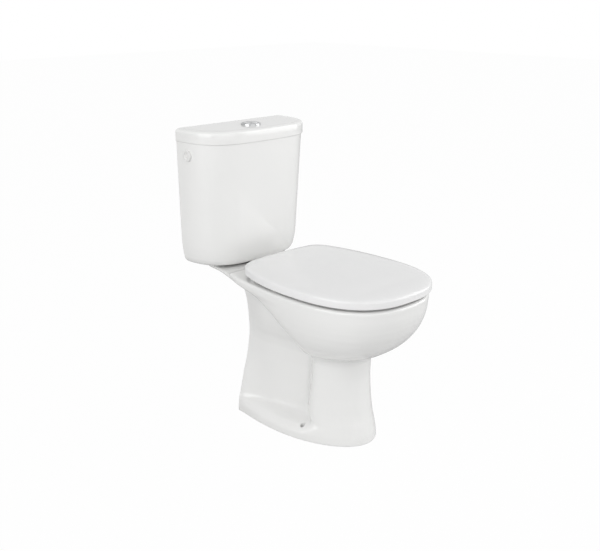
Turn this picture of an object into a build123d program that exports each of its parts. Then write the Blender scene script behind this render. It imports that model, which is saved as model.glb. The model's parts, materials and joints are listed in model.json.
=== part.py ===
from build123d import *
from math import asin, cos, pi, sin, sqrt
import os

# A close-coupled toilet, in millimetres. The origin is on the floor, on the axis of the waste outlet.
# +Z is up, the front of the bowl points to -Y, the wall is at +Y, and the left side of the photo is -X.

# Pan: heights above the floor, and reaches from the outlet axis
RIM_HEIGHT = 411.0
DECK_DROP = 7.0
DECK_HEIGHT = RIM_HEIGHT - DECK_DROP
RIM_FRONT = 434.0
RIM_WIDEST = 198.0
RIM_HALF_WIDTH = 179.0
COLUMN_FRONT = 288.0
COLUMN_WIDEST = 95.0
COLUMN_HALF_WIDTH = 106.0
FOOT_FRONT = 314.0
FOOT_WIDEST = 70.0
FOOT_HALF_WIDTH = 128.0
FOOT_REAR = 70.0
FOOT_REAR_HALF_WIDTH = 118.0
DECK_REAR = 204.0
DECK_HALF_WIDTH = 115.0
DECK_STEP = 62.0
WAIST_HALF_WIDTH = 72.0
RIDGE_REACH = 198.0
RECESS_HALF_WIDTH = 75.0
RECESS_WALL_LENGTH = 50.0
RECESS_BLEND_START = 40.0
PAN_WALL = 11.0
RIM_POWER, COLUMN_POWER, FOOT_POWER, SCOOP_POWER = 2.5, 2.15, 2.0, 2.2

# Pan: bowl under the rim
RIM_DEPTH = 46.0
BOWL_TOP = RIM_HEIGHT - RIM_DEPTH
BOWL_WIDEST_SHIFT = 14.0
BOWL_WIDEST = RIM_WIDEST + BOWL_WIDEST_SHIFT
BOWL_EDGE_WALL = 18.0
BOWL_FRONT = RIM_FRONT - BOWL_EDGE_WALL
BOWL_REAR = 60.0
BOWL_SIDE_WALL = 21.0
BOWL_HALF_WIDTH = RIM_HALF_WIDTH - BOWL_SIDE_WALL
BOWL_DEPTH = 187.0
SUMP_FLOOR = BOWL_TOP - BOWL_DEPTH
SUMP_WIDEST = 172.0
SUMP_FRONT = 190.0
SUMP_REAR = 152.0
SUMP_HALF_WIDTH = 28.0
BOWL_WALL = 12.0
BOWL_POWER, BOWL_REAR_POWER = 2.3, 1.7

# Pan: rim opening, water channel, wash holes and inlet
RIM_FRONT_LEDGE = 38.0
RIM_SIDE_LEDGE = 39.0
RIM_OPENING_FRONT = RIM_FRONT - RIM_FRONT_LEDGE
RIM_OPENING_REAR = 72.0
RIM_OPENING_HALF_WIDTH = RIM_HALF_WIDTH - RIM_SIDE_LEDGE
CHANNEL_SHELF = 12.0
CHANNEL_FLOOR = BOWL_TOP + CHANNEL_SHELF
CHANNEL_ROOF = RIM_HEIGHT - CHANNEL_SHELF
CHANNEL_INNER_WALL = 9.0
CHANNEL_WIDTH = 18.0
WASH_HOLE_RADIUS = 3.0
WASH_HOLE_COUNT = 22
INLET_FROM_REAR = 52.0
INLET_CENTRE = DECK_REAR - INLET_FROM_REAR
INLET_RECESS_DEPTH = 10.0
DUCT_ROOF = DECK_HEIGHT - INLET_RECESS_DEPTH
DUCT_DEPTH = 21.0
DUCT_FLOOR = DUCT_ROOF - DUCT_DEPTH
DUCT_HALF_WIDTH = 26.0
DUCT_FRONT = 52.0
DUCT_WALL = 7.0
KEEL_BOTTOM = DUCT_FLOOR - DUCT_WALL
KEEL_HALF_WIDTH = 46.0
KEEL_SETBACK = 9.0
KEEL_REAR = DECK_REAR - KEEL_SETBACK

# Pan: chamber behind the bowl, trap and spigot
CHAMBER_HALF_WIDTH = 64.0
CHAMBER_FRONT = 60.0
CHAMBER_RISE = 22.0
CHAMBER_BOTTOM = SUMP_FLOOR + CHAMBER_RISE
CHAMBER_ROOF_THICKNESS = 8.0
CHAMBER_ROOF = KEEL_BOTTOM - CHAMBER_ROOF_THICKNESS
TRAP_BORE_RADIUS = 26.0
TRAP_WALL = 8.0
TRAP_BEND_RADIUS = 40.0
TRAP_THROAT_REACH = 175.0
TRAP_THROAT_RISE = 19.0
TRAP_THROAT_HEIGHT = SUMP_FLOOR + TRAP_THROAT_RISE
TRAP_HEEL_REACH = 122.0
TRAP_CREST_REACH = 42.0
TRAP_CREST_DROP = 50.0
TRAP_CREST_HEIGHT = BOWL_TOP - TRAP_CREST_DROP
TRAP_FALL = 65.0
TRAP_DROP_HEIGHT = TRAP_CREST_HEIGHT - TRAP_FALL
SPIGOT_RADIUS = 51.0
SPIGOT_WALL = 9.0
SPIGOT_BORE_RADIUS = SPIGOT_RADIUS - SPIGOT_WALL
SPIGOT_BOTTOM = 12.0
SPIGOT_LENGTH = 83.0

# Pan: floor fixing holes, and the seams where the casting is cut into nodes
FLOOR_HOLE_RADIUS = 7.0
FLOOR_HOLE_X = 98.0
FLOOR_HOLE_REACH = 170.0
FLOOR_HOLE_WALL = 8.0
FLOOR_HOLE_PILLAR_RADIUS = FLOOR_HOLE_RADIUS + FLOOR_HOLE_WALL
FLOOR_HOLE_TOP = 72.0
FOOT_SEAM_DROP = 18.0
FOOT_SEAM = SUMP_FLOOR - FOOT_SEAM_DROP
BOWL_SEAM_DROP = 103.0
BOWL_SEAM = BOWL_TOP - BOWL_SEAM_DROP

# Cistern and lid
WALL_PLANE = 225.0
GASKET_THICKNESS = 7.0
CISTERN_BOTTOM = DECK_HEIGHT + GASKET_THICKNESS
CISTERN_HEIGHT = 334.0
CISTERN_TOP = CISTERN_BOTTOM + CISTERN_HEIGHT
CISTERN_HALF_WIDTH = 182.6
CISTERN_FOOT_HALF_WIDTH = 156.0
CISTERN_FRONT_TOP = 86.0
CISTERN_FRONT_BOTTOM = 122.0
CISTERN_BOW = 18.0
CISTERN_CORNER = 98.0
CISTERN_WALL = 9.0
CISTERN_FLOOR_THICKNESS = 10.0
LID_OVERHANG = 2.0
LID_FRONT_OVERHANG = 4.0
LID_HALF_WIDTH = CISTERN_HALF_WIDTH + LID_OVERHANG
LID_FRONT = CISTERN_FRONT_TOP - LID_FRONT_OVERHANG
LID_BOTTOM = CISTERN_TOP
LID_THICKNESS = 35.0
LID_TOP = LID_BOTTOM + LID_THICKNESS
LID_EDGE_ROUND = 10.0
LID_WALL = 9.0
LID_LIP_DEPTH = 9.0
LID_LIP_WIDTH = 7.0
LID_LIP_CLEARANCE = 2.5
LID_HOLE_CLEARANCE = 0.5

# Close coupling of the cistern to the pan
COUPLING_X = 66.0
COUPLING_BOLT_RADIUS = 4.0
COUPLING_HOLE_CLEARANCE = 2.0
COUPLING_HOLE_RADIUS = COUPLING_BOLT_RADIUS + COUPLING_HOLE_CLEARANCE
COUPLING_HEAD_RADIUS = 10.0
COUPLING_HEAD_HEIGHT = 6.0
COUPLING_DECK_THICKNESS = 14.0
COUPLING_SEAT_HEIGHT = DECK_HEIGHT - COUPLING_DECK_THICKNESS
CONE_WASHER_RADIUS = 14.0
CONE_WASHER_TOP_RADIUS = 11.0
CONE_WASHER_HEIGHT = 6.0
METAL_WASHER_RADIUS = 12.0
METAL_WASHER_THICKNESS = 2.0
COUPLING_SEAT_CLEARANCE = 3.0
COUPLING_SEAT_RADIUS = METAL_WASHER_RADIUS + COUPLING_SEAT_CLEARANCE
WING_HUB_RADIUS = 7.0
WING_HUB_HEIGHT = 8.0
WING_SPAN = 13.0
WING_THICKNESS = 3.0
COUPLING_BOLT_FREE_END = 4.0
COUPLING_BOLT_TIP = COUPLING_SEAT_HEIGHT - METAL_WASHER_THICKNESS - WING_HUB_HEIGHT - COUPLING_BOLT_FREE_END
THREAD_CLEARANCE = 0.05

# Flush valve: shank through the cistern's floor
VALVE_SHANK_RADIUS = 29.5
VALVE_HOLE_CLEARANCE = 1.5
VALVE_HOLE_RADIUS = VALVE_SHANK_RADIUS + VALVE_HOLE_CLEARANCE
VALVE_SHANK_GAP = 3.0
VALVE_SHANK_BOTTOM = DUCT_FLOOR + VALVE_SHANK_GAP
VALVE_SHANK_WALL = 5.5
VALVE_BORE_RADIUS = VALVE_SHANK_RADIUS - VALVE_SHANK_WALL
VALVE_FLANGE_RADIUS = 38.0
VALVE_FLANGE_THICKNESS = 4.0
VALVE_WASHER_THICKNESS = 3.0
BACK_NUT_WALL = 10.5
BACK_NUT_RADIUS = VALVE_SHANK_RADIUS + BACK_NUT_WALL
BACK_NUT_HEIGHT = 13.0
GASKET_CLEARANCE = 2.0
GASKET_HOLE_RADIUS = BACK_NUT_RADIUS + GASKET_CLEARANCE
GASKET_WIDTH = 10.0
GASKET_RADIUS = GASKET_HOLE_RADIUS + GASKET_WIDTH
INLET_RECESS_RADIUS = BACK_NUT_RADIUS + 2 * GASKET_CLEARANCE
INLET_CLEARANCE = 6.5
INLET_RADIUS = VALVE_SHANK_RADIUS + INLET_CLEARANCE

# Flush valve: seat, seal, tower and stem
VALVE_FLOOR = CISTERN_BOTTOM + CISTERN_FLOOR_THICKNESS
VALVE_FLANGE_BOTTOM = VALVE_FLOOR + VALVE_WASHER_THICKNESS
VALVE_FLANGE_TOP = VALVE_FLANGE_BOTTOM + VALVE_FLANGE_THICKNESS
VALVE_SEAT_HEIGHT = 5.0
SEAL_THICKNESS = 4.0
SEAL_BOTTOM = VALVE_FLANGE_TOP + VALVE_SEAT_HEIGHT
SEAL_TOP = SEAL_BOTTOM + SEAL_THICKNESS
VALVE_SEAT_WIDTH = 4.0
VALVE_SEAT_RADIUS = VALVE_BORE_RADIUS + VALVE_SEAT_WIDTH
SEAL_LAP = 3.0
SEAL_RADIUS = VALVE_SEAT_RADIUS + SEAL_LAP
TOWER_WALL = 3.0
TOWER_CLEARANCE = 1.0
TOWER_RADIUS = SEAL_RADIUS + TOWER_CLEARANCE + TOWER_WALL
TOWER_HEIGHT = 202.0
TOWER_TOP = VALVE_FLANGE_TOP + TOWER_HEIGHT
TOWER_SILL = 28.0
TOWER_HEAD = 24.0
TOWER_WINDOW_BOTTOM = VALVE_FLANGE_TOP + TOWER_SILL
TOWER_WINDOW_TOP = TOWER_TOP - TOWER_HEAD
TOWER_WINDOW_WIDTH = 30.0
STEM_RADIUS = 12.5
STEM_WALL = 2.0
STEM_BORE_RADIUS = STEM_RADIUS - STEM_WALL
SEAL_LIP = 4.0
STEM_FLANGE_RADIUS = SEAL_RADIUS - SEAL_LIP
STEM_FLANGE_THICKNESS = 3.0
TOWER_GUIDE_WALL = 5.5
TOWER_GUIDE_THICKNESS = 6.0

# Flush valve: rockers
ROCKER_STANDOFF = 5.5
ROCKER_X = STEM_RADIUS + ROCKER_STANDOFF
ROCKER_PIVOT_RISE = 22.0
ROCKER_PIVOT_HEIGHT = TOWER_TOP + ROCKER_PIVOT_RISE
ROCKER_WIDTH = 4.0
ROCKER_HUB_RADIUS = 4.0
ROCKER_PIN_RADIUS = 1.5
ROCKER_RUNNING_FIT = 0.06
ROCKER_PUSH_ARM = 24.0
ROCKER_LIFT_ARM = 26.0
ROCKER_BEAM_THICKNESS = 3.0
EAR_THICKNESS = 2.5
EAR_GAP = 0.4
WORKING_GAP = 0.3
STEM_TAB_RISE = 8.0
STEM_TAB_BOTTOM = ROCKER_PIVOT_HEIGHT + STEM_TAB_RISE
STEM_TAB_THICKNESS = 4.0
STEM_TAB_WIDTH = 7.0
STEM_TAB_LAP = 2.0
STEM_TAB_REACH = ROCKER_LIFT_ARM + STEM_TAB_LAP
STEM_HEAD = 8.0
STEM_TOP = STEM_TAB_BOTTOM + STEM_TAB_THICKNESS + STEM_HEAD

# Flush button
BUTTON_SETBACK = 18.0
BUTTON_CENTRE = INLET_CENTRE - BUTTON_SETBACK
BEZEL_SLEEVE_RADIUS = 24.0
BEZEL_BRIM = 3.0
BEZEL_RADIUS = BEZEL_SLEEVE_RADIUS + BEZEL_BRIM
BEZEL_HEIGHT = 5.0
BEZEL_SLEEVE_WALL = 2.4
BEZEL_SLEEVE_BORE = BEZEL_SLEEVE_RADIUS - BEZEL_SLEEVE_WALL
BEZEL_SLEEVE_LENGTH = 33.0
BEZEL_SLEEVE_BOTTOM = LID_TOP - BEZEL_SLEEVE_LENGTH
BEZEL_PLATE_RISE = 11.0
BEZEL_PLATE_HEIGHT = BEZEL_SLEEVE_BOTTOM + BEZEL_PLATE_RISE
BEZEL_PLATE_THICKNESS = 2.0
BEZEL_NUT_WALL = 8.0
BEZEL_NUT_RADIUS = BEZEL_SLEEVE_RADIUS + BEZEL_NUT_WALL
BEZEL_NUT_HEIGHT = 9.0
BUTTON_SIDE_GAP = 0.6
BUTTON_RADIUS = BEZEL_SLEEVE_BORE - BUTTON_SIDE_GAP
BUTTON_RISE = 6.0
BUTTON_TOP = LID_TOP + BUTTON_RISE
BUTTON_THICKNESS = 8.0
BUTTON_SPLIT_GAP = 0.8
ROD_RADIUS = 2.5
ROD_X = 11.0
ROD_Y = BUTTON_CENTRE
ROD_HOLE_CLEARANCE = 0.4
ROD_FOOT_HEIGHT = 4.0
ROD_FOOT_DEPTH = 5.0
SPRING_RADIUS = 4.2
SPRING_WIRE_RADIUS = 0.5
SPRING_TURNS = 5

# Side inlet: fill valve on the right, plug on the left
INLET_DEPTH = 33.0
INLET_HEIGHT = CISTERN_TOP - INLET_DEPTH
INLET_FROM_WALL = 49.0
INLET_Y = WALL_PLANE - INLET_FROM_WALL
SHANK_RADIUS = 8.33
INLET_HOLE_CLEARANCE = 0.67
INLET_HOLE_RADIUS = SHANK_RADIUS + INLET_HOLE_CLEARANCE
INLET_SEAT_DEPTH = 1.6
INLET_SEAT_OUTER = CISTERN_HALF_WIDTH - INLET_SEAT_DEPTH
INLET_SEAT_WALL = 7.0
INLET_SEAT_INNER = INLET_SEAT_OUTER - INLET_SEAT_WALL
SHANK_GROOVE_DEPTH = 0.73
SHANK_GROOVE_WIDTH = 1.5
SHANK_FREE_LENGTH = 24.0
SHANK_BORE_RADIUS = 4.5
SIDE_NUT_RADIUS = 14.0
SIDE_NUT_THICKNESS = 7.0
SIDE_FLANGE_RADIUS = 15.0
SIDE_WASHER_RADIUS = SIDE_FLANGE_RADIUS
SIDE_WASHER_THICKNESS = 3.0
SIDE_FLANGE_THICKNESS = 3.0
INLET_SEAT_MARGIN = 4.0
INLET_SEAT_RADIUS = SIDE_FLANGE_RADIUS + INLET_SEAT_MARGIN
PLUG_HEAD_RADIUS = 15.0
PLUG_HEAD_HEIGHT = 5.5
PLUG_DISH_RIM = 4.0
PLUG_DISH_RADIUS = PLUG_HEAD_RADIUS - PLUG_DISH_RIM
PLUG_DISH_DEPTH = 3.0
PLUG_SHANK_FREE = 16.0
PLUG_SHANK_TIP = INLET_SEAT_INNER - PLUG_SHANK_FREE
FILL_BODY_RADIUS = 12.0
FILL_OUTLET_INSET = 22.0
FILL_OUTLET_X = INLET_SEAT_INNER - FILL_OUTLET_INSET
FILL_BODY_LENGTH = 30.0
FILL_BODY_END = FILL_OUTLET_X - FILL_BODY_LENGTH
FILL_TUBE_RADIUS = 8.0
FILL_TUBE_WALL = 2.0
FILL_OUTLET_RADIUS = FILL_TUBE_RADIUS - FILL_TUBE_WALL
FILL_TUBE_FOOT_GAP = 49.0
FILL_TUBE_BOTTOM = VALVE_FLOOR + FILL_TUBE_FOOT_GAP
FILL_SOCKET_LENGTH = 14.0
FLOAT_PIVOT_INSET = 18.0
FLOAT_PIVOT_X = FILL_OUTLET_X - FLOAT_PIVOT_INSET
FLOAT_PIVOT_RISE = 19.0
FLOAT_PIN_RADIUS = 1.5
FLOAT_EAR_THICKNESS = 2.5
FLOAT_ARM_WIDTH = 5.0
FLOAT_ARM_HEIGHT = 5.0
FLOAT_OFFSET = 50.0
FLOAT_X = FLOAT_PIVOT_X - FLOAT_OFFSET
FLOAT_ARM_END = 14.0
FLOAT_ARM_REACH = FLOAT_OFFSET + FLOAT_ARM_END
FLOAT_HANGER_LENGTH = 34.0
FLOAT_RADIUS = 24.0
FLOAT_HEIGHT = 46.0
FLOAT_WALL = 2.0
PLUNGER_RADIUS = 2.5
PLUNGER_REACH = 7.0
PLUNGER_HOLE_DEPTH = 9.0

# Seat ring
SEAT_BUFFER_HEIGHT = 6.0
RING_THICKNESS = 17.0
RING_BOTTOM = RIM_HEIGHT + SEAT_BUFFER_HEIGHT
RING_TOP = RING_BOTTOM + RING_THICKNESS
RING_INSET = 6.0
RING_REAR = 16.0
RING_LAP = 28.0
RING_OPENING_HALF_WIDTH = RIM_OPENING_HALF_WIDTH - RING_LAP
RING_OPENING_FRONT = RIM_OPENING_FRONT - RING_LAP
RING_REAR_LAP = 40.0
RING_OPENING_REAR = RIM_OPENING_REAR + RING_REAR_LAP
RING_TOP_ROUND = 6.0
RING_EDGE_ROUND = 3.0

# Seat cover
COVER_NOSE = 4.6
COVER_OVERHANG = 4.2
COVER_FRONT = RIM_FRONT + COVER_NOSE
COVER_WIDEST_SHIFT = 0.4
COVER_WIDEST = RIM_WIDEST + COVER_WIDEST_SHIFT
COVER_HALF_WIDTH = RIM_HALF_WIDTH + COVER_OVERHANG
COVER_REAR = 22.0
COVER_REAR_HALF_WIDTH = 135.0
COVER_CORNER_RADIUS = 30.0
COVER_SKIRT_LAP = 13.0
COVER_SKIRT_BOTTOM = RING_TOP - COVER_SKIRT_LAP
COVER_EDGE_RISE = 5.0
COVER_EDGE_TOP = RING_TOP + COVER_EDGE_RISE
COVER_CROWN = 13.0
COVER_CROWN_INSET = 110.0
COVER_THICKNESS = 5.0
COVER_SKIRT_THICKNESS = 4.0
COVER_POWER, COVER_TAPER_POWER = 2.57, 2.2
COVER_BUFFER_GAP = 0.3
COVER_BUFFER_HEIGHT = 6.0
COVER_BUFFER_TOP = RING_TOP + COVER_BUFFER_HEIGHT
BUFFER_RADIUS = 9.0
BUFFER_BOSS_HEIGHT = 6.0

# Seat hinges
HINGE_X = 75.0
HINGE_Y = 8.0
HINGE_DROP = 4.0
HINGE_HEIGHT = RING_TOP - HINGE_DROP
HINGE_POST_HALF_WIDTH = 8.0
HINGE_POST_HALF_DEPTH = 6.0
HINGE_BASE_RADIUS = 15.0
HINGE_BASE_THICKNESS = 3.0
HINGE_PIN_RADIUS = 3.0
HINGE_PIN_FIT = 0.06
HINGE_SIDE_GAP = 0.5
LUG_WIDTH = 14.0
LUG_RADIUS = 7.0
LUG_HEAD_GAP = 0.5
HINGE_NOTCH_MARGIN = 14.5
HINGE_NOTCH_X = HINGE_X + HINGE_POST_HALF_WIDTH + HINGE_NOTCH_MARGIN + LUG_WIDTH + HINGE_SIDE_GAP
HINGE_NOTCH_FRONT = 12.0
HINGE_BOLT_RADIUS = 4.0
HINGE_HOLE_CLEARANCE = 1.5
HINGE_HOLE_RADIUS = HINGE_BOLT_RADIUS + HINGE_HOLE_CLEARANCE
HINGE_BOLT_COVER = 7.0
HINGE_BOLT_TOP = HINGE_HEIGHT - HINGE_BOLT_COVER
HINGE_DECK_THICKNESS = 22.0
HINGE_POCKET_ROOF = RIM_HEIGHT - HINGE_DECK_THICKNESS
HINGE_POCKET_DEPTH = 44.0
HINGE_POCKET_FLOOR = HINGE_POCKET_ROOF - HINGE_POCKET_DEPTH
HINGE_BOLT_FREE_END = 29.0
HINGE_BOLT_TIP = HINGE_POCKET_ROOF - METAL_WASHER_THICKNESS - WING_HUB_HEIGHT - HINGE_BOLT_FREE_END
HINGE_POCKET_INWARD = 25.0
HINGE_POCKET_OUTWARD = 13.0
HINGE_POCKET_HALF_DEPTH = 15.0
OVERRUN = 2.0

# One row per level of the pan's outside: level in the rim's height, then the shares of the foot's flare,
# the bowl's swell, the ridge's reach, the recess's depth, the rear waist and the deck's overhang
PAN_LEVEL_SHARES = (
    (0.000, 1.00, 0.000, 0.94, 0.00, 0.00, 0.00),
    (0.030, 0.96, 0.000, 0.94, 0.00, 0.00, 0.00),
    (0.054, 0.91, 0.000, 0.94, 0.02, 0.02, 0.00),
    (0.073, 0.84, 0.000, 0.94, 0.30, 0.03, 0.00),
    (0.110, 0.68, 0.000, 0.94, 0.58, 0.05, 0.00),
    (0.146, 0.50, 0.000, 0.94, 0.80, 0.13, 0.00),
    (0.195, 0.33, 0.000, 0.945, 0.92, 0.26, 0.00),
    (0.292, 0.13, 0.000, 0.96, 1.00, 0.48, 0.00),
    (0.360, 0.04, 0.000, 0.975, 1.00, 0.68, 0.00),
    (0.426, 0.00, 0.000, 0.985, 1.00, 0.83, 0.00),
    (0.528, 0.00, 0.010, 1.00, 0.97, 0.98, 0.00),
    (0.562, 0.00, 0.045, 1.00, 0.90, 1.00, 0.00),
    (0.584, 0.00, 0.120, 1.00, 0.86, 1.00, 0.00),
    (0.600, 0.00, 0.235, 0.99, 0.83, 0.99, 0.00),
    (0.620, 0.00, 0.370, 0.985, 0.79, 0.98, 0.00),
    (0.669, 0.00, 0.575, 0.955, 0.73, 0.95, 0.00),
    (0.712, 0.00, 0.705, 0.90, 0.70, 0.91, 0.00),
    (0.754, 0.00, 0.800, 0.82, 0.69, 0.86, 0.00),
    (0.803, 0.00, 0.885, 0.69, 0.68, 0.76, 0.00),
    (0.852, 0.00, 0.940, 0.54, 0.64, 0.63, 0.00),
    (0.892, 0.00, 0.970, 0.36, 0.56, 0.54, 0.04),
    (0.922, 0.00, 0.985, 0.18, 0.48, 0.46, 0.14),
    (0.954, 0.00, 0.992, -0.08, 0.00, 0.12, 0.92),
    (0.978, 0.00, 1.000, -0.10, 0.00, 0.00, 1.00),
    (1.000, 0.00, 1.000, -0.10, 0.00, 0.00, 1.00),
)
HOLLOW_TOP_SHARE = 0.53
WALL_POINT_SHARES = (0.12, 0.30, 0.60, 1.00)
SIDE_POINT_SHARES = (0.35, 0.70)
FRONT_POINTS = 8

# One row per level of the bowl's inside: height from the sump's floor to the bowl's top, narrowing of its
# front and sides, narrowing of its rear
BOWL_LEVEL_SHARES = (
    (0.00, 1.00, 1.00),
    (0.05, 0.92, 0.98),
    (0.15, 0.83, 0.93),
    (0.28, 0.69, 0.84),
    (0.40, 0.53, 0.72),
    (0.52, 0.38, 0.57),
    (0.71, 0.17, 0.31),
    (0.87, 0.05, 0.11),
    (1.00, 0.00, 0.00),
)

# Where the right-hand buffers sit: shares of the rim's reach forward and of its half-width
BUFFER_PLACE_SHARES = ((0.80, 0.66), (0.30, 0.86))

# One row per level of the cistern: height from its bottom to its top, spread of its sides, lean of its front
CISTERN_LEVEL_SHARES = (
    (0.000, 0.000, 0.00),
    (0.007, 0.180, 0.12),
    (0.020, 0.360, 0.24),
    (0.040, 0.490, 0.33),
    (0.070, 0.600, 0.40),
    (0.110, 0.690, 0.45),
    (0.160, 0.765, 0.50),
    (0.350, 0.845, 0.60),
    (0.560, 0.905, 0.72),
    (1.000, 1.000, 1.00),
)


def mix(low, high, share):
    return low + (high - low) * share


def box(x0, x1, y0, y1, z0, z1):
    size = Box(x1 - x0, y1 - y0, z1 - z0)
    return Pos((x0 + x1) / 2, (y0 + y1) / 2, (z0 + z1) / 2) * size


def rod(radius, x, y, z0, z1):
    """An upright cylinder from z0 to z1."""
    return Pos(x, y, (z0 + z1) / 2) * Cylinder(radius, z1 - z0)


def rod_x(radius, x0, x1, y, z):
    """A cylinder along X from x0 to x1."""
    return Pos((x0 + x1) / 2, y, z) * Rot(0, 90, 0) * Cylinder(radius, abs(x1 - x0))


def rod_y(radius, x, y0, y1, z):
    """A cylinder along Y from y0 to y1."""
    return Pos(x, (y0 + y1) / 2, z) * Rot(90, 0, 0) * Cylinder(radius, abs(y1 - y0))


def both_sides(piece):
    """The piece and its mirror image across the middle plane, as separate solids."""
    return Compound(children=[*piece.solids(), *mirror(piece, about=Plane.YZ).solids()])


def hexagon_prism(radius, thickness):
    return extrude(RegularPolygon(radius, 6), thickness)


def wing_nut(x, y, top):
    """A wing nut screwed up to the height top, with its two wings along Y."""
    hub = rod(WING_HUB_RADIUS, x, y, top - WING_HUB_HEIGHT, top)
    half = WING_THICKNESS / 2
    wings = box(x - half, x + half, y - WING_SPAN, y + WING_SPAN, top - WING_HUB_HEIGHT, top - WING_THICKNESS)
    bore = rod(COUPLING_BOLT_RADIUS + THREAD_CLEARANCE, x, y, top - WING_HUB_HEIGHT - OVERRUN, top + OVERRUN)
    return hub + wings - bore


def washer(outer, hole, x, y, z0, z1):
    return rod(outer, x, y, z0, z1) - rod(hole, x, y, z0 - OVERRUN, z1 + OVERRUN)


# Pan


def pan_face(row, inset=0.0, overrun=0.0):
    """The pan's outline at one level, drawn inwards by inset and run past its rear by overrun."""
    level, flare, swell, ridge, depth, waist, overhang = row
    half_width = mix(mix(COLUMN_HALF_WIDTH, FOOT_HALF_WIDTH, flare), RIM_HALF_WIDTH, swell) - inset
    front = inset - mix(mix(COLUMN_FRONT, FOOT_FRONT, flare), RIM_FRONT, swell)
    widest = -mix(mix(COLUMN_WIDEST, FOOT_WIDEST, flare), RIM_WIDEST, swell)
    power = mix(mix(COLUMN_POWER, FOOT_POWER, flare), RIM_POWER, swell)
    rear = mix(FOOT_REAR, DECK_REAR, overhang)
    full_corner = mix(FOOT_REAR_HALF_WIDTH, DECK_HALF_WIDTH, swell) - inset
    corner = mix(full_corner, WAIST_HALF_WIDTH - inset, waist)
    ridge_y = -ridge * RIDGE_REACH - inset
    height = level * RIM_HEIGHT

    def envelope(y):
        if y < widest:
            share = min((widest - y) / (widest - front), 1)
            return half_width * (1 - share**power) ** (1 / power)
        share = (y - widest) / (rear - widest)
        return half_width - (half_width - full_corner) * share**2

    def side(y):
        scoop = 1 - (1 - min(max((y - ridge_y) / RECESS_WALL_LENGTH, 0), 1)) ** SCOOP_POWER
        wall = mix(envelope(y), min(RECESS_HALF_WIDTH - inset, envelope(y)), depth)
        blend = max((y + RECESS_BLEND_START) / (rear + RECESS_BLEND_START), 0) ** 2
        return mix(envelope(y), mix(wall, corner, blend), scoop)

    wall_end = ridge_y + RECESS_WALL_LENGTH
    sides = [ridge_y] + [mix(ridge_y, wall_end, share) for share in WALL_POINT_SHARES]
    sides += [mix(wall_end, rear, share) for share in SIDE_POINT_SHARES]
    left = [(-side(y), y, height) for y in sides] + [(-corner, rear + overrun, height)]
    behind = (ridge_y - widest) / (widest - front)
    start = asin(-behind) if behind < 0 else -behind
    turns = [mix(start, pi / 2, i / FRONT_POINTS) for i in range(FRONT_POINTS)]
    reach = [widest - (widest - front) * (sin(turn) if turn > 0 else turn) for turn in turns]
    nose = [(-envelope(y), y, height) for y in reach]
    round_front = nose + [(0, front, height)] + [(-x, y, z) for x, y, z in reversed(nose)]
    right = [(-x, y, z) for x, y, z in left]
    edges = [Spline(*left[::-1]), Spline(*round_front), Spline(*right), Line(right[-1], left[-1])]
    return Face(Wire(edges))


def egg_face(height, half_width, front, rear, widest, rear_power=BOWL_POWER, points=20):
    """A closed egg-shaped outline; front and rear are places on the Y axis."""
    outline = []
    for i in range(points):
        turn = 2 * pi * i / points
        across, along = cos(turn), sin(turn)
        power = rear_power if along > 0 else BOWL_POWER
        x = half_width * abs(across) ** (2 / power) * (1 if across > 0 else -1)
        reach = rear - widest if along > 0 else widest - front
        y = widest + reach * abs(along) ** (2 / power) * (1 if along > 0 else -1)
        outline.append((x, y, height))
    return Face(Wire([Spline(*outline, periodic=True)]))


def bowl_inside(growth=0.0):
    """The bowl's hollow from the sump to the underside of the rim, grown outwards by growth."""
    faces = []
    for rise, narrow, rear_narrow in BOWL_LEVEL_SHARES:
        faces.append(
            egg_face(
                mix(SUMP_FLOOR - growth, BOWL_TOP, rise),
                mix(BOWL_HALF_WIDTH, SUMP_HALF_WIDTH, narrow) + growth,
                -mix(BOWL_FRONT, SUMP_FRONT, narrow) - growth,
                -mix(BOWL_REAR, SUMP_REAR, rear_narrow) + growth,
                -mix(BOWL_WIDEST, SUMP_WIDEST, narrow),
                BOWL_REAR_POWER,
            )
        )
    return loft(faces)


def rim_slab(half_width, front, rear, bottom, top):
    face = egg_face(bottom, half_width, -front, -rear, -BOWL_WIDEST)
    return extrude(face, top - bottom, dir=(0, 0, 1))


def rim_channel():
    """The water channel inside the rim, a band just outside the rim's opening."""
    grow = CHANNEL_INNER_WALL
    half, front, rear = RIM_OPENING_HALF_WIDTH, RIM_OPENING_FRONT, RIM_OPENING_REAR
    inner = rim_slab(half + grow, front + grow, rear - grow, CHANNEL_FLOOR - OVERRUN, CHANNEL_ROOF + OVERRUN)
    grow += CHANNEL_WIDTH
    outer = rim_slab(half + grow, front + grow, rear - grow, CHANNEL_FLOOR, CHANNEL_ROOF)
    return outer - inner


def wash_holes():
    """Small upright holes that let the channel's water run down the bowl, all round but at the rear."""
    grow = CHANNEL_INNER_WALL + CHANNEL_WIDTH / 4
    half = RIM_OPENING_HALF_WIDTH + grow
    front = RIM_OPENING_FRONT + grow
    holes = []
    for i in range(WASH_HOLE_COUNT):
        turn = pi * (i + 0.5) / WASH_HOLE_COUNT
        x = half * cos(turn)
        y = -BOWL_WIDEST - (front - BOWL_WIDEST) * sin(turn)
        holes.append(rod(WASH_HOLE_RADIUS, x, y, BOWL_TOP - OVERRUN, CHANNEL_FLOOR + OVERRUN))
    return holes


def trap(radius):
    """The water way from the sump over the weir and down to the spigot, as a round bar."""
    path = FilletPolyline(
        (0, -TRAP_THROAT_REACH, TRAP_THROAT_HEIGHT),
        (0, -TRAP_HEEL_REACH, TRAP_THROAT_HEIGHT),
        (0, -TRAP_CREST_REACH, TRAP_CREST_HEIGHT),
        (0, 0, TRAP_DROP_HEIGHT),
        (0, 0, SPIGOT_BOTTOM + SPIGOT_LENGTH - TRAP_WALL),
        radius=TRAP_BEND_RADIUS,
    )
    start = Plane(origin=path @ 0, z_dir=path % 0)
    return sweep(start * Circle(radius), path=path)


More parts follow.
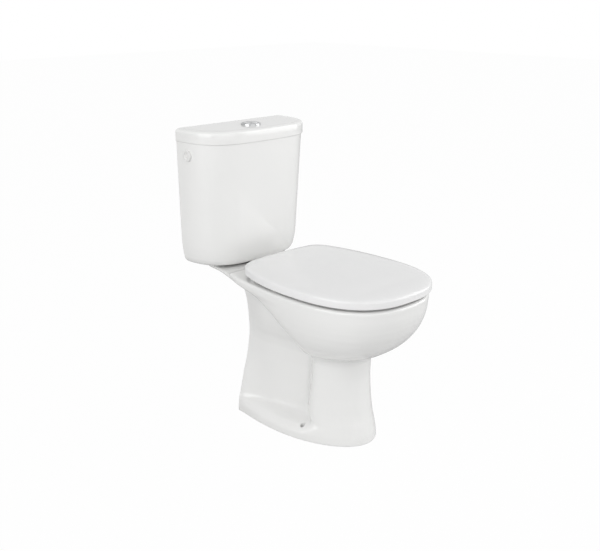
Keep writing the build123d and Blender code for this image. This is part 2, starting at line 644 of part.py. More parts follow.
def pan_hollow():
    """The hollow of the foot and the chamber above it, open below and behind."""
    rows = [row for row in PAN_LEVEL_SHARES if row[0] < HOLLOW_TOP_SHARE]
    faces = [pan_face(row, PAN_WALL, OVERRUN) for row in rows]
    foot = loft(faces, ruled=True) + extrude(faces[0], OVERRUN, dir=(0, 0, -1))
    half = CHAMBER_HALF_WIDTH
    chamber = box(-half, half, -CHAMBER_FRONT, FOOT_REAR + OVERRUN, CHAMBER_BOTTOM, CHAMBER_ROOF)
    hollow = foot + chamber
    hollow -= bowl_inside(BOWL_WALL)
    hollow -= trap(TRAP_BORE_RADIUS + TRAP_WALL)
    hollow -= rod(SPIGOT_RADIUS, 0, 0, SPIGOT_BOTTOM, SPIGOT_BOTTOM + SPIGOT_LENGTH)
    for x in (-FLOOR_HOLE_X, FLOOR_HOLE_X):
        hollow -= rod(FLOOR_HOLE_PILLAR_RADIUS, x, -FLOOR_HOLE_REACH, -OVERRUN, FLOOR_HOLE_TOP)
    return hollow


def make_pan():
    faces = [pan_face(row) for row in PAN_LEVEL_SHARES]
    pan = loft(faces, ruled=True)
    keel = KEEL_HALF_WIDTH
    pan += box(-keel, keel, 0, KEEL_REAR, KEEL_BOTTOM, DECK_HEIGHT)
    edge = RIM_HALF_WIDTH
    pan -= box(-edge, edge, DECK_STEP, DECK_REAR + OVERRUN, DECK_HEIGHT, RIM_HEIGHT + OVERRUN)
    pan -= pan_hollow()
    pan -= bowl_inside()
    pan -= rim_slab(
        RIM_OPENING_HALF_WIDTH, RIM_OPENING_FRONT, RIM_OPENING_REAR, BOWL_TOP - OVERRUN, RIM_HEIGHT + OVERRUN
    )
    pan -= rim_channel()
    for hole in wash_holes():
        pan -= hole
    pan -= trap(TRAP_BORE_RADIUS)
    spigot_top = SPIGOT_BOTTOM + SPIGOT_LENGTH - TRAP_WALL
    pan -= rod(SPIGOT_BORE_RADIUS, 0, 0, SPIGOT_BOTTOM - OVERRUN, spigot_top)
    duct = DUCT_HALF_WIDTH
    pan -= box(-duct, duct, -DUCT_FRONT, INLET_CENTRE, DUCT_FLOOR, DUCT_ROOF)
    pan -= rod(INLET_RADIUS, 0, INLET_CENTRE, DUCT_FLOOR, DECK_HEIGHT)
    pan -= rod(INLET_RECESS_RADIUS, 0, INLET_CENTRE, DECK_HEIGHT - INLET_RECESS_DEPTH, DECK_HEIGHT + OVERRUN)
    for side in (-1, 1):
        pan -= rod(COUPLING_HOLE_RADIUS, side * COUPLING_X, INLET_CENTRE, KEEL_BOTTOM, DECK_HEIGHT + OVERRUN)
        pan -= rod(COUPLING_SEAT_RADIUS, side * COUPLING_X, INLET_CENTRE, KEEL_BOTTOM, COUPLING_SEAT_HEIGHT)
        pan -= rod(FLOOR_HOLE_RADIUS, side * FLOOR_HOLE_X, -FLOOR_HOLE_REACH, -OVERRUN, FLOOR_HOLE_TOP)
        pan -= rod(HINGE_HOLE_RADIUS, side * HINGE_X, HINGE_Y, HINGE_POCKET_FLOOR, RIM_HEIGHT + OVERRUN)
        near, far = sorted((side * (HINGE_X - HINGE_POCKET_INWARD), side * (HINGE_X + HINGE_POCKET_OUTWARD)))
        front, back = HINGE_Y - HINGE_POCKET_HALF_DEPTH, HINGE_Y + HINGE_POCKET_HALF_DEPTH
        pan -= box(near, far, front, back, HINGE_POCKET_FLOOR, HINGE_POCKET_ROOF)
    return pan


def pan_slab(pan, bottom, top):
    """The stretch of the pan between two level seams."""
    return pan & box(-RIM_FRONT, RIM_FRONT, -2 * RIM_FRONT, 2 * RIM_FRONT, bottom, top)


def make_pan_nodes():
    """One casting, cut at level seams so that each node bends round one hollow only."""
    pan = make_pan()
    low = pan_slab(pan, 0, FOOT_SEAM).solids().sort_by(SortBy.VOLUME)
    return {
        "pan_foot": low[-1],
        "pan_outlet": low[0],
        "pan_waist": pan_slab(pan, FOOT_SEAM, BOWL_SEAM),
        "pan_bowl": pan_slab(pan, BOWL_SEAM, BOWL_TOP),
        "pan_rim": pan_slab(pan, BOWL_TOP, RIM_HEIGHT),
    }


# Cistern and lid


def tank_face(height, half_width, front, back, corner, bow):
    """A tank outline: flat back and sides, round front corners and a gently bowed front."""
    flat = half_width - corner
    shoulder = front - bow * (1 - (flat / half_width) ** 2)
    nose = front - bow
    sagitta = shoulder - nose
    radius = (flat**2 + sagitta**2) / (2 * sagitta)
    slope = flat / (radius - sagitta)
    bend = shoulder + slope * corner
    points = [
        (-half_width, back, height),
        (-half_width, front + corner, height),
        (-half_width, bend, height),
        (-flat, shoulder, height),
    ]
    right = [(-x, y, z) for x, y, z in points]
    edges = [
        Line(points[0], points[1]),
        Bezier(*points[1:]),
        ThreePointArc(points[3], (0, nose, height), right[3]),
        Bezier(*right[:0:-1]),
        Line(right[1], right[0]),
        Line(right[0], points[0]),
    ]
    return Face(Wire(edges))


def tank_level(rise, spread, lean, inset=0.0, base=CISTERN_BOTTOM):
    return tank_face(
        mix(base, CISTERN_TOP, rise),
        mix(CISTERN_FOOT_HALF_WIDTH, CISTERN_HALF_WIDTH, spread) - inset,
        mix(CISTERN_FRONT_BOTTOM, CISTERN_FRONT_TOP, lean) + inset,
        WALL_PLANE - inset,
        CISTERN_CORNER - 2 * inset,
        CISTERN_BOW,
    )


def make_cistern():
    cistern = loft([tank_level(*row) for row in CISTERN_LEVEL_SHARES], ruled=True)
    inside_base = CISTERN_BOTTOM + CISTERN_FLOOR_THICKNESS
    inside = [tank_level(*row, inset=CISTERN_WALL, base=inside_base) for row in CISTERN_LEVEL_SHARES]
    cistern -= loft(inside, ruled=True) + extrude(inside[-1], OVERRUN, dir=(0, 0, 1))
    cistern -= rod(VALVE_HOLE_RADIUS, 0, INLET_CENTRE, CISTERN_BOTTOM - OVERRUN, inside_base + OVERRUN)
    for side in (-1, 1):
        bolt_x = side * COUPLING_X
        below = CISTERN_BOTTOM - OVERRUN
        cistern -= rod(COUPLING_HOLE_RADIUS, bolt_x, INLET_CENTRE, below, inside_base + OVERRUN)
        outer = side * INLET_SEAT_OUTER
        inner = side * INLET_SEAT_INNER
        start = side * FILL_OUTLET_X
        end = side * CISTERN_HALF_WIDTH * 2
        cistern -= rod_x(INLET_HOLE_RADIUS, start, end, INLET_Y, INLET_HEIGHT)
        cistern -= rod_x(INLET_SEAT_RADIUS, outer, outer + side * CISTERN_WALL, INLET_Y, INLET_HEIGHT)
        cistern -= rod_x(INLET_SEAT_RADIUS, side * FILL_OUTLET_X, inner, INLET_Y, INLET_HEIGHT)
    return cistern


def lid_face(height, inset):
    return tank_face(
        height,
        LID_HALF_WIDTH - inset,
        LID_FRONT + inset,
        WALL_PLANE - inset,
        CISTERN_CORNER - inset,
        CISTERN_BOW,
    )


def lip_face(height, inset):
    """The lid's locating lip, drawn inwards from the inside of the cistern's rim."""
    inset += CISTERN_WALL + LID_LIP_CLEARANCE
    return tank_face(
        height,
        CISTERN_HALF_WIDTH - inset,
        CISTERN_FRONT_TOP + inset,
        WALL_PLANE - inset,
        CISTERN_CORNER - 2 * inset,
        CISTERN_BOW,
    )


def make_cistern_lid():
    block = extrude(lid_face(LID_BOTTOM, 0), LID_THICKNESS, dir=(0, 0, 1))
    block = fillet(block.edges().group_by(Axis.Z)[-1], LID_EDGE_ROUND)
    room = extrude(lid_face(LID_BOTTOM, LID_WALL), LID_THICKNESS - LID_WALL, dir=(0, 0, 1))
    lid = block - room
    lip_bottom = LID_BOTTOM - LID_LIP_DEPTH
    lip = extrude(lip_face(lip_bottom, 0), LID_TOP - LID_WALL - lip_bottom, dir=(0, 0, 1))
    lip -= extrude(lip_face(lip_bottom - OVERRUN, LID_LIP_WIDTH), 2 * LID_THICKNESS, dir=(0, 0, 1))
    hole = rod(BEZEL_SLEEVE_RADIUS + LID_HOLE_CLEARANCE, 0, BUTTON_CENTRE, LID_BOTTOM, LID_TOP + OVERRUN)
    return lid + lip - hole


# Close coupling


def make_cistern_gasket():
    return washer(GASKET_RADIUS, GASKET_HOLE_RADIUS, 0, INLET_CENTRE, DECK_HEIGHT, CISTERN_BOTTOM)


def make_coupling_bolt():
    seat = CISTERN_BOTTOM + CISTERN_FLOOR_THICKNESS + CONE_WASHER_HEIGHT
    shank = rod(COUPLING_BOLT_RADIUS, COUPLING_X, INLET_CENTRE, COUPLING_BOLT_TIP, seat)
    head = Pos(COUPLING_X, INLET_CENTRE, seat) * hexagon_prism(COUPLING_HEAD_RADIUS, COUPLING_HEAD_HEIGHT)
    return shank + head


def make_coupling_cone_washer():
    base = CISTERN_BOTTOM + CISTERN_FLOOR_THICKNESS
    middle = base + CONE_WASHER_HEIGHT / 2
    cone = Cone(CONE_WASHER_RADIUS, CONE_WASHER_TOP_RADIUS, CONE_WASHER_HEIGHT)
    bore = COUPLING_BOLT_RADIUS + THREAD_CLEARANCE
    hole = rod(bore, COUPLING_X, INLET_CENTRE, base - OVERRUN, base + 2 * CONE_WASHER_HEIGHT)
    return Pos(COUPLING_X, INLET_CENTRE, middle) * cone - hole


def make_coupling_washer():
    hole = COUPLING_BOLT_RADIUS + THREAD_CLEARANCE
    bottom = COUPLING_SEAT_HEIGHT - METAL_WASHER_THICKNESS
    return washer(METAL_WASHER_RADIUS, hole, COUPLING_X, INLET_CENTRE, bottom, COUPLING_SEAT_HEIGHT)


# Flush valve


def make_valve_base():
    y = INLET_CENTRE
    base = rod(VALVE_FLANGE_RADIUS, 0, y, VALVE_FLANGE_BOTTOM, VALVE_FLANGE_TOP)
    base += rod(VALVE_SHANK_RADIUS, 0, y, VALVE_SHANK_BOTTOM, VALVE_FLANGE_TOP)
    base += rod(VALVE_SEAT_RADIUS, 0, y, VALVE_FLANGE_TOP, SEAL_BOTTOM)
    return base - rod(VALVE_BORE_RADIUS, 0, y, VALVE_SHANK_BOTTOM - OVERRUN, SEAL_BOTTOM + OVERRUN)


def make_valve_washer():
    hole = VALVE_SHANK_RADIUS + THREAD_CLEARANCE
    return washer(VALVE_FLANGE_RADIUS, hole, 0, INLET_CENTRE, VALVE_FLOOR, VALVE_FLANGE_BOTTOM)


def make_valve_back_nut():
    base = CISTERN_BOTTOM - BACK_NUT_HEIGHT
    nut = Pos(0, INLET_CENTRE, base) * hexagon_prism(BACK_NUT_RADIUS, BACK_NUT_HEIGHT)
    hole = VALVE_SHANK_RADIUS + THREAD_CLEARANCE
    return nut - rod(hole, 0, INLET_CENTRE, base - OVERRUN, CISTERN_BOTTOM + OVERRUN)


def make_valve_tower():
    """A slotted tube on the base, with a guide for the stem and two pairs of ears for the rockers."""
    y = INLET_CENTRE
    tower = rod(TOWER_RADIUS, 0, y, VALVE_FLANGE_TOP, TOWER_TOP)
    tower -= rod(TOWER_RADIUS - TOWER_WALL, 0, y, VALVE_FLANGE_TOP - OVERRUN, TOWER_TOP - TOWER_WALL)
    half = TOWER_WINDOW_WIDTH / 2
    reach = TOWER_RADIUS + OVERRUN
    tower -= box(-half, half, y - reach, y + reach, TOWER_WINDOW_BOTTOM, TOWER_WINDOW_TOP)
    tower -= box(-reach, reach, y - half, y + half, TOWER_WINDOW_BOTTOM, TOWER_WINDOW_TOP)
    tower += rod(STEM_RADIUS + TOWER_GUIDE_WALL, 0, y, TOWER_TOP - TOWER_GUIDE_THICKNESS, TOWER_TOP)
    tower -= rod(STEM_RADIUS + WORKING_GAP, 0, y, TOWER_TOP - 2 * TOWER_GUIDE_THICKNESS, TOWER_TOP + OVERRUN)
    ear_top = ROCKER_PIVOT_HEIGHT + ROCKER_HUB_RADIUS
    for side in (-1, 1):
        for flank in (-1, 1):
            near = ROCKER_WIDTH / 2 + EAR_GAP
            inner = side * ROCKER_X + flank * near
            outer = inner + flank * EAR_THICKNESS
            tower += box(
                min(inner, outer), max(inner, outer), y - ROCKER_HUB_RADIUS, y + ROCKER_HUB_RADIUS,
                TOWER_TOP - TOWER_WALL, ear_top,
            )
        reach = ROCKER_WIDTH / 2 + EAR_GAP + EAR_THICKNESS + OVERRUN
        tower -= rod_x(
            ROCKER_PIN_RADIUS + ROCKER_RUNNING_FIT, side * ROCKER_X - reach, side * ROCKER_X + reach,
            y, ROCKER_PIVOT_HEIGHT,
        )
    return tower


def make_rocker_pin():
    reach = ROCKER_WIDTH / 2 + EAR_GAP + EAR_THICKNESS
    return rod_x(ROCKER_PIN_RADIUS, ROCKER_X - reach, ROCKER_X + reach, INLET_CENTRE, ROCKER_PIVOT_HEIGHT)


def make_valve_stem():
    """The lifting stem: an overflow pipe with a flange and a tab that the full-flush rocker lifts."""
    y = INLET_CENTRE
    stem = rod(STEM_RADIUS, 0, y, SEAL_TOP, STEM_TOP)
    stem += rod(STEM_FLANGE_RADIUS, 0, y, SEAL_TOP, SEAL_TOP + STEM_FLANGE_THICKNESS)
    tab_inner = ROCKER_X - ROCKER_WIDTH / 2
    tab = box(
        -tab_inner - STEM_TAB_WIDTH, 0, y, y + STEM_TAB_REACH,
        STEM_TAB_BOTTOM, STEM_TAB_BOTTOM + STEM_TAB_THICKNESS,
    )
    stem += tab
    return stem - rod(STEM_BORE_RADIUS, 0, y, SEAL_TOP - OVERRUN, STEM_TOP + OVERRUN)


def make_valve_seal():
    return washer(SEAL_RADIUS, STEM_BORE_RADIUS, 0, INLET_CENTRE, SEAL_BOTTOM, SEAL_TOP)


def make_rocker(side):
    """A seesaw beside the stem: its front arm is pushed down by the rod's foot and its rear arm lifts."""
    x, y, z = side * ROCKER_X, INLET_CENTRE, ROCKER_PIVOT_HEIGHT
    half = ROCKER_WIDTH / 2
    top = STEM_TAB_BOTTOM - WORKING_GAP
    rocker = rod_x(ROCKER_HUB_RADIUS, x - half, x + half, y, z)
    rocker += box(x - half, x + half, y - ROCKER_PUSH_ARM, y + ROCKER_LIFT_ARM, z, z + ROCKER_BEAM_THICKNESS)
    arm_end = y + ROCKER_LIFT_ARM
    rocker += box(x - half, x + half, arm_end - ROCKER_BEAM_THICKNESS, arm_end, z, top)
    hole = ROCKER_PIN_RADIUS + ROCKER_RUNNING_FIT
    return rocker - rod_x(hole, x - ROCKER_WIDTH, x + ROCKER_WIDTH, y, z)


# Flush button


def make_button_bezel():
    y = BUTTON_CENTRE
    bezel = rod(BEZEL_RADIUS, 0, y, LID_TOP, LID_TOP + BEZEL_HEIGHT)
    bezel = fillet(bezel.edges().group_by(Axis.Z)[-1], BEZEL_HEIGHT / 2)
    bezel += rod(BEZEL_SLEEVE_RADIUS, 0, y, BEZEL_SLEEVE_BOTTOM, LID_TOP)
    bezel -= rod(BEZEL_SLEEVE_BORE, 0, y, BEZEL_SLEEVE_BOTTOM - OVERRUN, LID_TOP + BEZEL_HEIGHT + OVERRUN)
    plate_bottom = BEZEL_PLATE_HEIGHT - BEZEL_PLATE_THICKNESS
    bezel += rod(BEZEL_SLEEVE_BORE + BEZEL_PLATE_THICKNESS / 2, 0, y, plate_bottom, BEZEL_PLATE_HEIGHT)
    hole = ROD_RADIUS + ROD_HOLE_CLEARANCE
    for x in (-ROD_X, ROD_X):
        bezel -= rod(hole, x, ROD_Y, plate_bottom - OVERRUN, BEZEL_PLATE_HEIGHT + OVERRUN)
    return bezel


def make_bezel_nut():
    top = LID_TOP - LID_WALL
    nut = Pos(0, BUTTON_CENTRE, top - BEZEL_NUT_HEIGHT) * hexagon_prism(BEZEL_NUT_RADIUS, BEZEL_NUT_HEIGHT)
    hole = BEZEL_SLEEVE_RADIUS + THREAD_CLEARANCE
    return nut - rod(hole, 0, BUTTON_CENTRE, top - BEZEL_NUT_HEIGHT - OVERRUN, top + OVERRUN)


def make_button(side):
    """A half-moon button, side -1 on the left and +1 on the right."""
    y = BUTTON_CENTRE
    bottom = BUTTON_TOP - BUTTON_THICKNESS
    moon = rod(BUTTON_RADIUS, 0, y, bottom, BUTTON_TOP)
    moon = fillet(moon.edges().group_by(Axis.Z)[-1], BUTTON_THICKNESS / 4)
    reach = BUTTON_RADIUS + OVERRUN
    low, high = bottom - OVERRUN, BUTTON_TOP + OVERRUN
    if side < 0:
        moon -= box(-BUTTON_SPLIT_GAP / 2, reach, y - reach, y + reach, low, high)
    else:
        moon -= box(-reach, BUTTON_SPLIT_GAP / 2, y - reach, y + reach, low, high)
    return moon


def make_push_rod(side):
    """The rod under a button, with a foot that reaches over the rocker's front arm."""
    x, half = side * ROD_X, ROCKER_WIDTH / 2
    foot_bottom = ROCKER_PIVOT_HEIGHT + ROCKER_BEAM_THICKNESS + WORKING_GAP
    stem = rod(ROD_RADIUS, x, ROD_Y, foot_bottom, BUTTON_TOP - BUTTON_THICKNESS)
    near, far = sorted((x - side * ROD_RADIUS, side * ROCKER_X + side * half))
    arm_y = INLET_CENTRE - ROCKER_PUSH_ARM
    foot = box(near, far, arm_y, arm_y + ROD_FOOT_DEPTH, foot_bottom, foot_bottom + ROD_FOOT_HEIGHT)
    near, far = sorted((x - side * ROD_RADIUS, x + side * ROD_RADIUS))
    bridge = box(near, far, arm_y, ROD_Y, foot_bottom, foot_bottom + ROD_FOOT_HEIGHT)
    return stem + foot + bridge


def make_button_spring(side):
    """A coil spring between the sleeve's plate and the button, round the push rod."""
    bottom = BEZEL_PLATE_HEIGHT + SPRING_WIRE_RADIUS
    height = BUTTON_TOP - BUTTON_THICKNESS - SPRING_WIRE_RADIUS - bottom
    path = Helix(height / SPRING_TURNS, height, SPRING_RADIUS)
    start = Plane(origin=path @ 0, z_dir=path % 0)
    wire = sweep(start * Circle(SPRING_WIRE_RADIUS), path=path, is_frenet=True)
    return Pos(side * ROD_X, ROD_Y, bottom) * wire


# Side inlet


def side_nut(side, x0):
    """A hexagon nut on the shank, from x0 outwards or inwards by its thickness."""
    nut = Rot(0, 90, 0) * hexagon_prism(SIDE_NUT_RADIUS, SIDE_NUT_THICKNESS)
    nut = Pos(min(x0, x0 + side * SIDE_NUT_THICKNESS), INLET_Y, INLET_HEIGHT) * nut
    hole = SHANK_RADIUS + THREAD_CLEARANCE
    return nut - rod_x(hole, x0 - SIDE_NUT_RADIUS, x0 + SIDE_NUT_RADIUS, INLET_Y, INLET_HEIGHT)


def side_washer(side):
    x0, x1 = side * INLET_SEAT_INNER, side * (INLET_SEAT_INNER - SIDE_WASHER_THICKNESS)
    disc = rod_x(SIDE_WASHER_RADIUS, x0, x1, INLET_Y, INLET_HEIGHT)
    hole = SHANK_RADIUS + THREAD_CLEARANCE
    return disc - rod_x(hole, x0 + side * OVERRUN, x1 - side * OVERRUN, INLET_Y, INLET_HEIGHT)


def make_inlet_plug():
    outer = INLET_SEAT_OUTER
    head = rod_x(PLUG_HEAD_RADIUS, -outer - PLUG_HEAD_HEIGHT, -outer, INLET_Y, INLET_HEIGHT)
    head = fillet(head.edges().group_by(Axis.X)[0], PLUG_HEAD_HEIGHT / 2)
    shank = rod_x(SHANK_RADIUS, -outer, -PLUG_SHANK_TIP, INLET_Y, INLET_HEIGHT)
    face = -outer - PLUG_HEAD_HEIGHT
    dish = Pos(face, INLET_Y, INLET_HEIGHT) * Rot(0, 90, 0)
    dish *= Cone(PLUG_DISH_RADIUS, PLUG_DISH_RADIUS / 2, 2 * PLUG_DISH_DEPTH)
    return head + shank - dish


def make_fill_valve_body():
    y, z = INLET_Y, INLET_HEIGHT
    flange_outer = INLET_SEAT_INNER - SIDE_WASHER_THICKNESS
    flange_inner = flange_outer - SIDE_FLANGE_THICKNESS
    nut_end = INLET_SEAT_OUTER + SIDE_NUT_THICKNESS
    groove_end = nut_end + SHANK_GROOVE_WIDTH
    body = rod_x(SIDE_FLANGE_RADIUS, flange_inner, flange_outer, y, z)
    body += rod_x(SHANK_RADIUS, flange_inner, nut_end, y, z)
    body += rod_x(SHANK_RADIUS - SHANK_GROOVE_DEPTH, nut_end - OVERRUN, groove_end + OVERRUN, y, z)
    body += rod_x(SHANK_RADIUS, groove_end, groove_end + SHANK_FREE_LENGTH, y, z)
    body += rod_x(FILL_BODY_RADIUS, FILL_BODY_END, flange_inner, y, z)
    body += rod(FILL_TUBE_RADIUS, FILL_OUTLET_X, y, z - FILL_BODY_RADIUS - FILL_SOCKET_LENGTH / 2, z)
    ear_half = FLOAT_ARM_WIDTH / 2 + EAR_GAP
    ear_top = z + FLOAT_PIVOT_RISE + 2 * FLOAT_PIN_RADIUS
    for flank in (-1, 1):
        low, high = sorted((y + flank * ear_half, y + flank * (ear_half + FLOAT_EAR_THICKNESS)))
        body += box(
            FLOAT_PIVOT_X - 2 * FLOAT_PIN_RADIUS, FLOAT_PIVOT_X + 2 * FLOAT_PIN_RADIUS, low, high, z, ear_top
        )
    pin_reach = ear_half + FLOAT_EAR_THICKNESS + OVERRUN
    pin_hole = FLOAT_PIN_RADIUS + ROCKER_RUNNING_FIT
    body -= rod_y(pin_hole, FLOAT_PIVOT_X, y - pin_reach, y + pin_reach, z + FLOAT_PIVOT_RISE)
    body -= rod_x(SHANK_BORE_RADIUS, FILL_OUTLET_X, groove_end + SHANK_FREE_LENGTH + OVERRUN, y, z)
    body -= rod(FILL_OUTLET_RADIUS, FILL_OUTLET_X, y, z - FILL_BODY_RADIUS - FILL_SOCKET_LENGTH, z)
    top = z + FILL_BODY_RADIUS
    plunger_x = FLOAT_PIVOT_X - PLUNGER_REACH
    body -= rod(PLUNGER_RADIUS + WORKING_GAP, plunger_x, y, top - PLUNGER_HOLE_DEPTH, top + OVERRUN)
    return body


def make_fill_tube():
    """The tube that leads the incoming water down to the tank's floor without noise."""
    top = INLET_HEIGHT - FILL_BODY_RADIUS - FILL_SOCKET_LENGTH / 2
    tube = rod(FILL_TUBE_RADIUS, FILL_OUTLET_X, INLET_Y, FILL_TUBE_BOTTOM, top)
    return tube - rod(FILL_OUTLET_RADIUS, FILL_OUTLET_X, INLET_Y, FILL_TUBE_BOTTOM - OVERRUN, top + OVERRUN)


def make_float_arm():
    """A short arm that ends in a hanger for the float, resting low as in an empty tank."""
    y, z = INLET_Y, INLET_HEIGHT + FLOAT_PIVOT_RISE
    half, rise = FLOAT_ARM_WIDTH / 2, FLOAT_ARM_HEIGHT / 2
    tip = FLOAT_PIVOT_X - FLOAT_ARM_REACH
    arm = box(tip, FLOAT_PIVOT_X, y - half, y + half, z - rise, z + rise)
    arm += rod_y(rise + FLOAT_PIN_RADIUS / 2, FLOAT_PIVOT_X, y - half, y + half, z)
    arm += box(
        FLOAT_X - rise, FLOAT_X + rise, y - half, y + half, z - FLOAT_HANGER_LENGTH, z
    )
    reach = FLOAT_ARM_WIDTH
    return arm - rod_y(FLOAT_PIN_RADIUS + ROCKER_RUNNING_FIT, FLOAT_PIVOT_X, y - reach, y + reach, z)


def make_float_pin():
    reach = FLOAT_ARM_WIDTH / 2 + EAR_GAP + FLOAT_EAR_THICKNESS
    height = INLET_HEIGHT + FLOAT_PIVOT_RISE
    return rod_y(FLOAT_PIN_RADIUS, FLOAT_PIVOT_X, INLET_Y - reach, INLET_Y + reach, height)


def make_float():
    """A cup float, closed on top and open below."""
    top = INLET_HEIGHT + FLOAT_PIVOT_RISE - FLOAT_HANGER_LENGTH
    base = top - FLOAT_HEIGHT
    cup = rod(FLOAT_RADIUS, FLOAT_X, INLET_Y, base, top)
    cup = fillet(cup.edges().group_by(Axis.Z)[-1], 2 * FLOAT_WALL)
    return cup - rod(FLOAT_RADIUS - FLOAT_WALL, FLOAT_X, INLET_Y, base - OVERRUN, top - FLOAT_WALL)


def make_plunger():
    """The pin that closes the water when the rising float arm lets it lift."""
    top = INLET_HEIGHT + FLOAT_PIVOT_RISE - FLOAT_ARM_HEIGHT / 2 - WORKING_GAP
    bottom = INLET_HEIGHT + FILL_BODY_RADIUS - PLUNGER_HOLE_DEPTH + WORKING_GAP
    return rod(PLUNGER_RADIUS, FLOAT_PIVOT_X - PLUNGER_REACH, INLET_Y, bottom, top)


# Seat ring, cover and hinges


def seat_face(height, inset, rear=COVER_REAR, corner=COVER_CORNER_RADIUS):
    """The outline shared by the cover and the ring, drawn inwards by inset, with round rear corners."""
    half_width, front, widest = COVER_HALF_WIDTH - inset, inset - COVER_FRONT, -COVER_WIDEST
    depth = COVER_REAR + COVER_WIDEST
    taper = COVER_HALF_WIDTH - COVER_REAR_HALF_WIDTH

    def side_x(y):
        return half_width - taper * ((y - widest) / depth) ** COVER_TAPER_POWER

    behind = [mix(rear, widest, share) for share in (0, 0.25, 0.5, 0.75)]
    left = [(-side_x(y), y, height) for y in behind]
    for i in range(FRONT_POINTS):
        turn = pi / 2 * i / FRONT_POINTS
        x = half_width * cos(turn) ** (2 / COVER_POWER)
        y = widest - (widest - front) * sin(turn) ** (2 / COVER_POWER)
        left.append((-x, y, height))
    right = [(-x, y, z) for x, y, z in reversed(left)]
    outline = left + [(0, front, height)] + right
    face = Face(Wire([Spline(*outline), Line(outline[-1], outline[0])]))
    corners = face.vertices().group_by(Axis.Y)[-1]
    return face.fillet_2d(corner, corners)


def make_seat_ring():
    face = seat_face(RING_BOTTOM, RING_INSET, rear=-RING_REAR)
    ring = extrude(face, RING_THICKNESS, dir=(0, 0, 1))
    opening = egg_face(
        RING_BOTTOM - OVERRUN, RING_OPENING_HALF_WIDTH, -RING_OPENING_FRONT, -RING_OPENING_REAR, -BOWL_WIDEST
    )
    ring -= extrude(opening, RING_THICKNESS + 2 * OVERRUN, dir=(0, 0, 1))
    ring = fillet(ring.edges().group_by(Axis.Z)[-1], RING_TOP_ROUND)
    ring = fillet(ring.edges().group_by(Axis.Z)[0], RING_EDGE_ROUND)
    outer = HINGE_X - HINGE_POST_HALF_WIDTH - HINGE_SIDE_GAP
    low = HINGE_HEIGHT - LUG_RADIUS
    for side in (-1, 1):
        near, far = sorted((side * (outer - LUG_WIDTH), side * outer))
        lug = rod_x(LUG_RADIUS, near, far, HINGE_Y, HINGE_HEIGHT)
        lug += box(near, far, -RING_REAR - LUG_WIDTH, HINGE_Y, low, RING_TOP - RING_EDGE_ROUND)
        ring += lug
        ring -= rod_x(HINGE_PIN_RADIUS + HINGE_PIN_FIT, near - OVERRUN, far + OVERRUN, HINGE_Y, HINGE_HEIGHT)
    return ring


def cover_dome(inset, bottom, crown):
    """A solid under the cover's crowned top: upright sides that roll over into a shallow dome."""
    faces = [seat_face(bottom, inset), seat_face(COVER_EDGE_TOP - inset / 2, inset)]
    for i in range(1, 6):
        turn = pi / 2 * i / 5
        drawn = inset + COVER_CROWN_INSET * (1 - cos(turn)) ** 1.5
        rise = crown * sin(turn)
        corner = COVER_CORNER_RADIUS + drawn / 8
        height = COVER_EDGE_TOP - inset / 2 + rise
        faces.append(seat_face(height, drawn, rear=COVER_REAR - drawn, corner=corner))
    return loft(faces, ruled=True)


def make_cover():
    cover = cover_dome(0, COVER_SKIRT_BOTTOM, COVER_CROWN)
    inner_crown = COVER_CROWN - COVER_THICKNESS / 2
    cover -= cover_dome(COVER_SKIRT_THICKNESS, COVER_SKIRT_BOTTOM - OVERRUN, inner_crown)
    roof = HINGE_HEIGHT + LUG_RADIUS + LUG_HEAD_GAP
    notch = HINGE_NOTCH_X
    cover -= box(-notch, notch, -HINGE_NOTCH_FRONT, COVER_REAR + OVERRUN, COVER_SKIRT_BOTTOM - OVERRUN, roof)
    inner = HINGE_X + HINGE_POST_HALF_WIDTH + HINGE_SIDE_GAP
    for side in (-1, 1):
        near, far = sorted((side * inner, side * (inner + LUG_WIDTH)))
        lug = rod_x(LUG_RADIUS, near, far, HINGE_Y, HINGE_HEIGHT)
        front, rear = HINGE_Y - LUG_RADIUS, HINGE_Y + LUG_RADIUS
        lug += box(near, far, front, rear, HINGE_HEIGHT, roof + COVER_THICKNESS)
        cover += lug
        for forward, across in BUFFER_PLACE_SHARES:
            cover += rod(
                BUFFER_RADIUS, side * across * RIM_HALF_WIDTH, -forward * RIM_FRONT,
                COVER_BUFFER_TOP, COVER_BUFFER_TOP + BUFFER_BOSS_HEIGHT,
            )
        cover -= rod_x(HINGE_PIN_RADIUS + HINGE_PIN_FIT, near - OVERRUN, far + OVERRUN, HINGE_Y, HINGE_HEIGHT)
    return cover


def make_hinge_post():
    x, y = HINGE_X, HINGE_Y
    post = rod(HINGE_BASE_RADIUS, x, y, RIM_HEIGHT, RIM_HEIGHT + HINGE_BASE_THICKNESS)
    post += box(
        x - HINGE_POST_HALF_WIDTH, x + HINGE_POST_HALF_WIDTH,
        y - HINGE_POST_HALF_DEPTH, y + HINGE_POST_HALF_DEPTH,
        RIM_HEIGHT, HINGE_HEIGHT,
    )
    post += rod_x(
        HINGE_POST_HALF_DEPTH, x - HINGE_POST_HALF_WIDTH, x + HINGE_POST_HALF_WIDTH, y, HINGE_HEIGHT
    )
    reach = HINGE_POST_HALF_WIDTH + OVERRUN
    post -= rod_x(HINGE_PIN_RADIUS + HINGE_PIN_FIT, x - reach, x + reach, y, HINGE_HEIGHT)
    return post - rod(HINGE_BOLT_RADIUS + THREAD_CLEARANCE, x, y, RIM_HEIGHT - OVERRUN, HINGE_BOLT_TOP)


def make_hinge_pin():
    reach = HINGE_POST_HALF_WIDTH + HINGE_SIDE_GAP + LUG_WIDTH
    return rod_x(HINGE_PIN_RADIUS, HINGE_X - reach, HINGE_X + reach, HINGE_Y, HINGE_HEIGHT)


def make_hinge_bolt():
    return rod(HINGE_BOLT_RADIUS, HINGE_X, HINGE_Y, HINGE_BOLT_TIP, HINGE_BOLT_TOP)


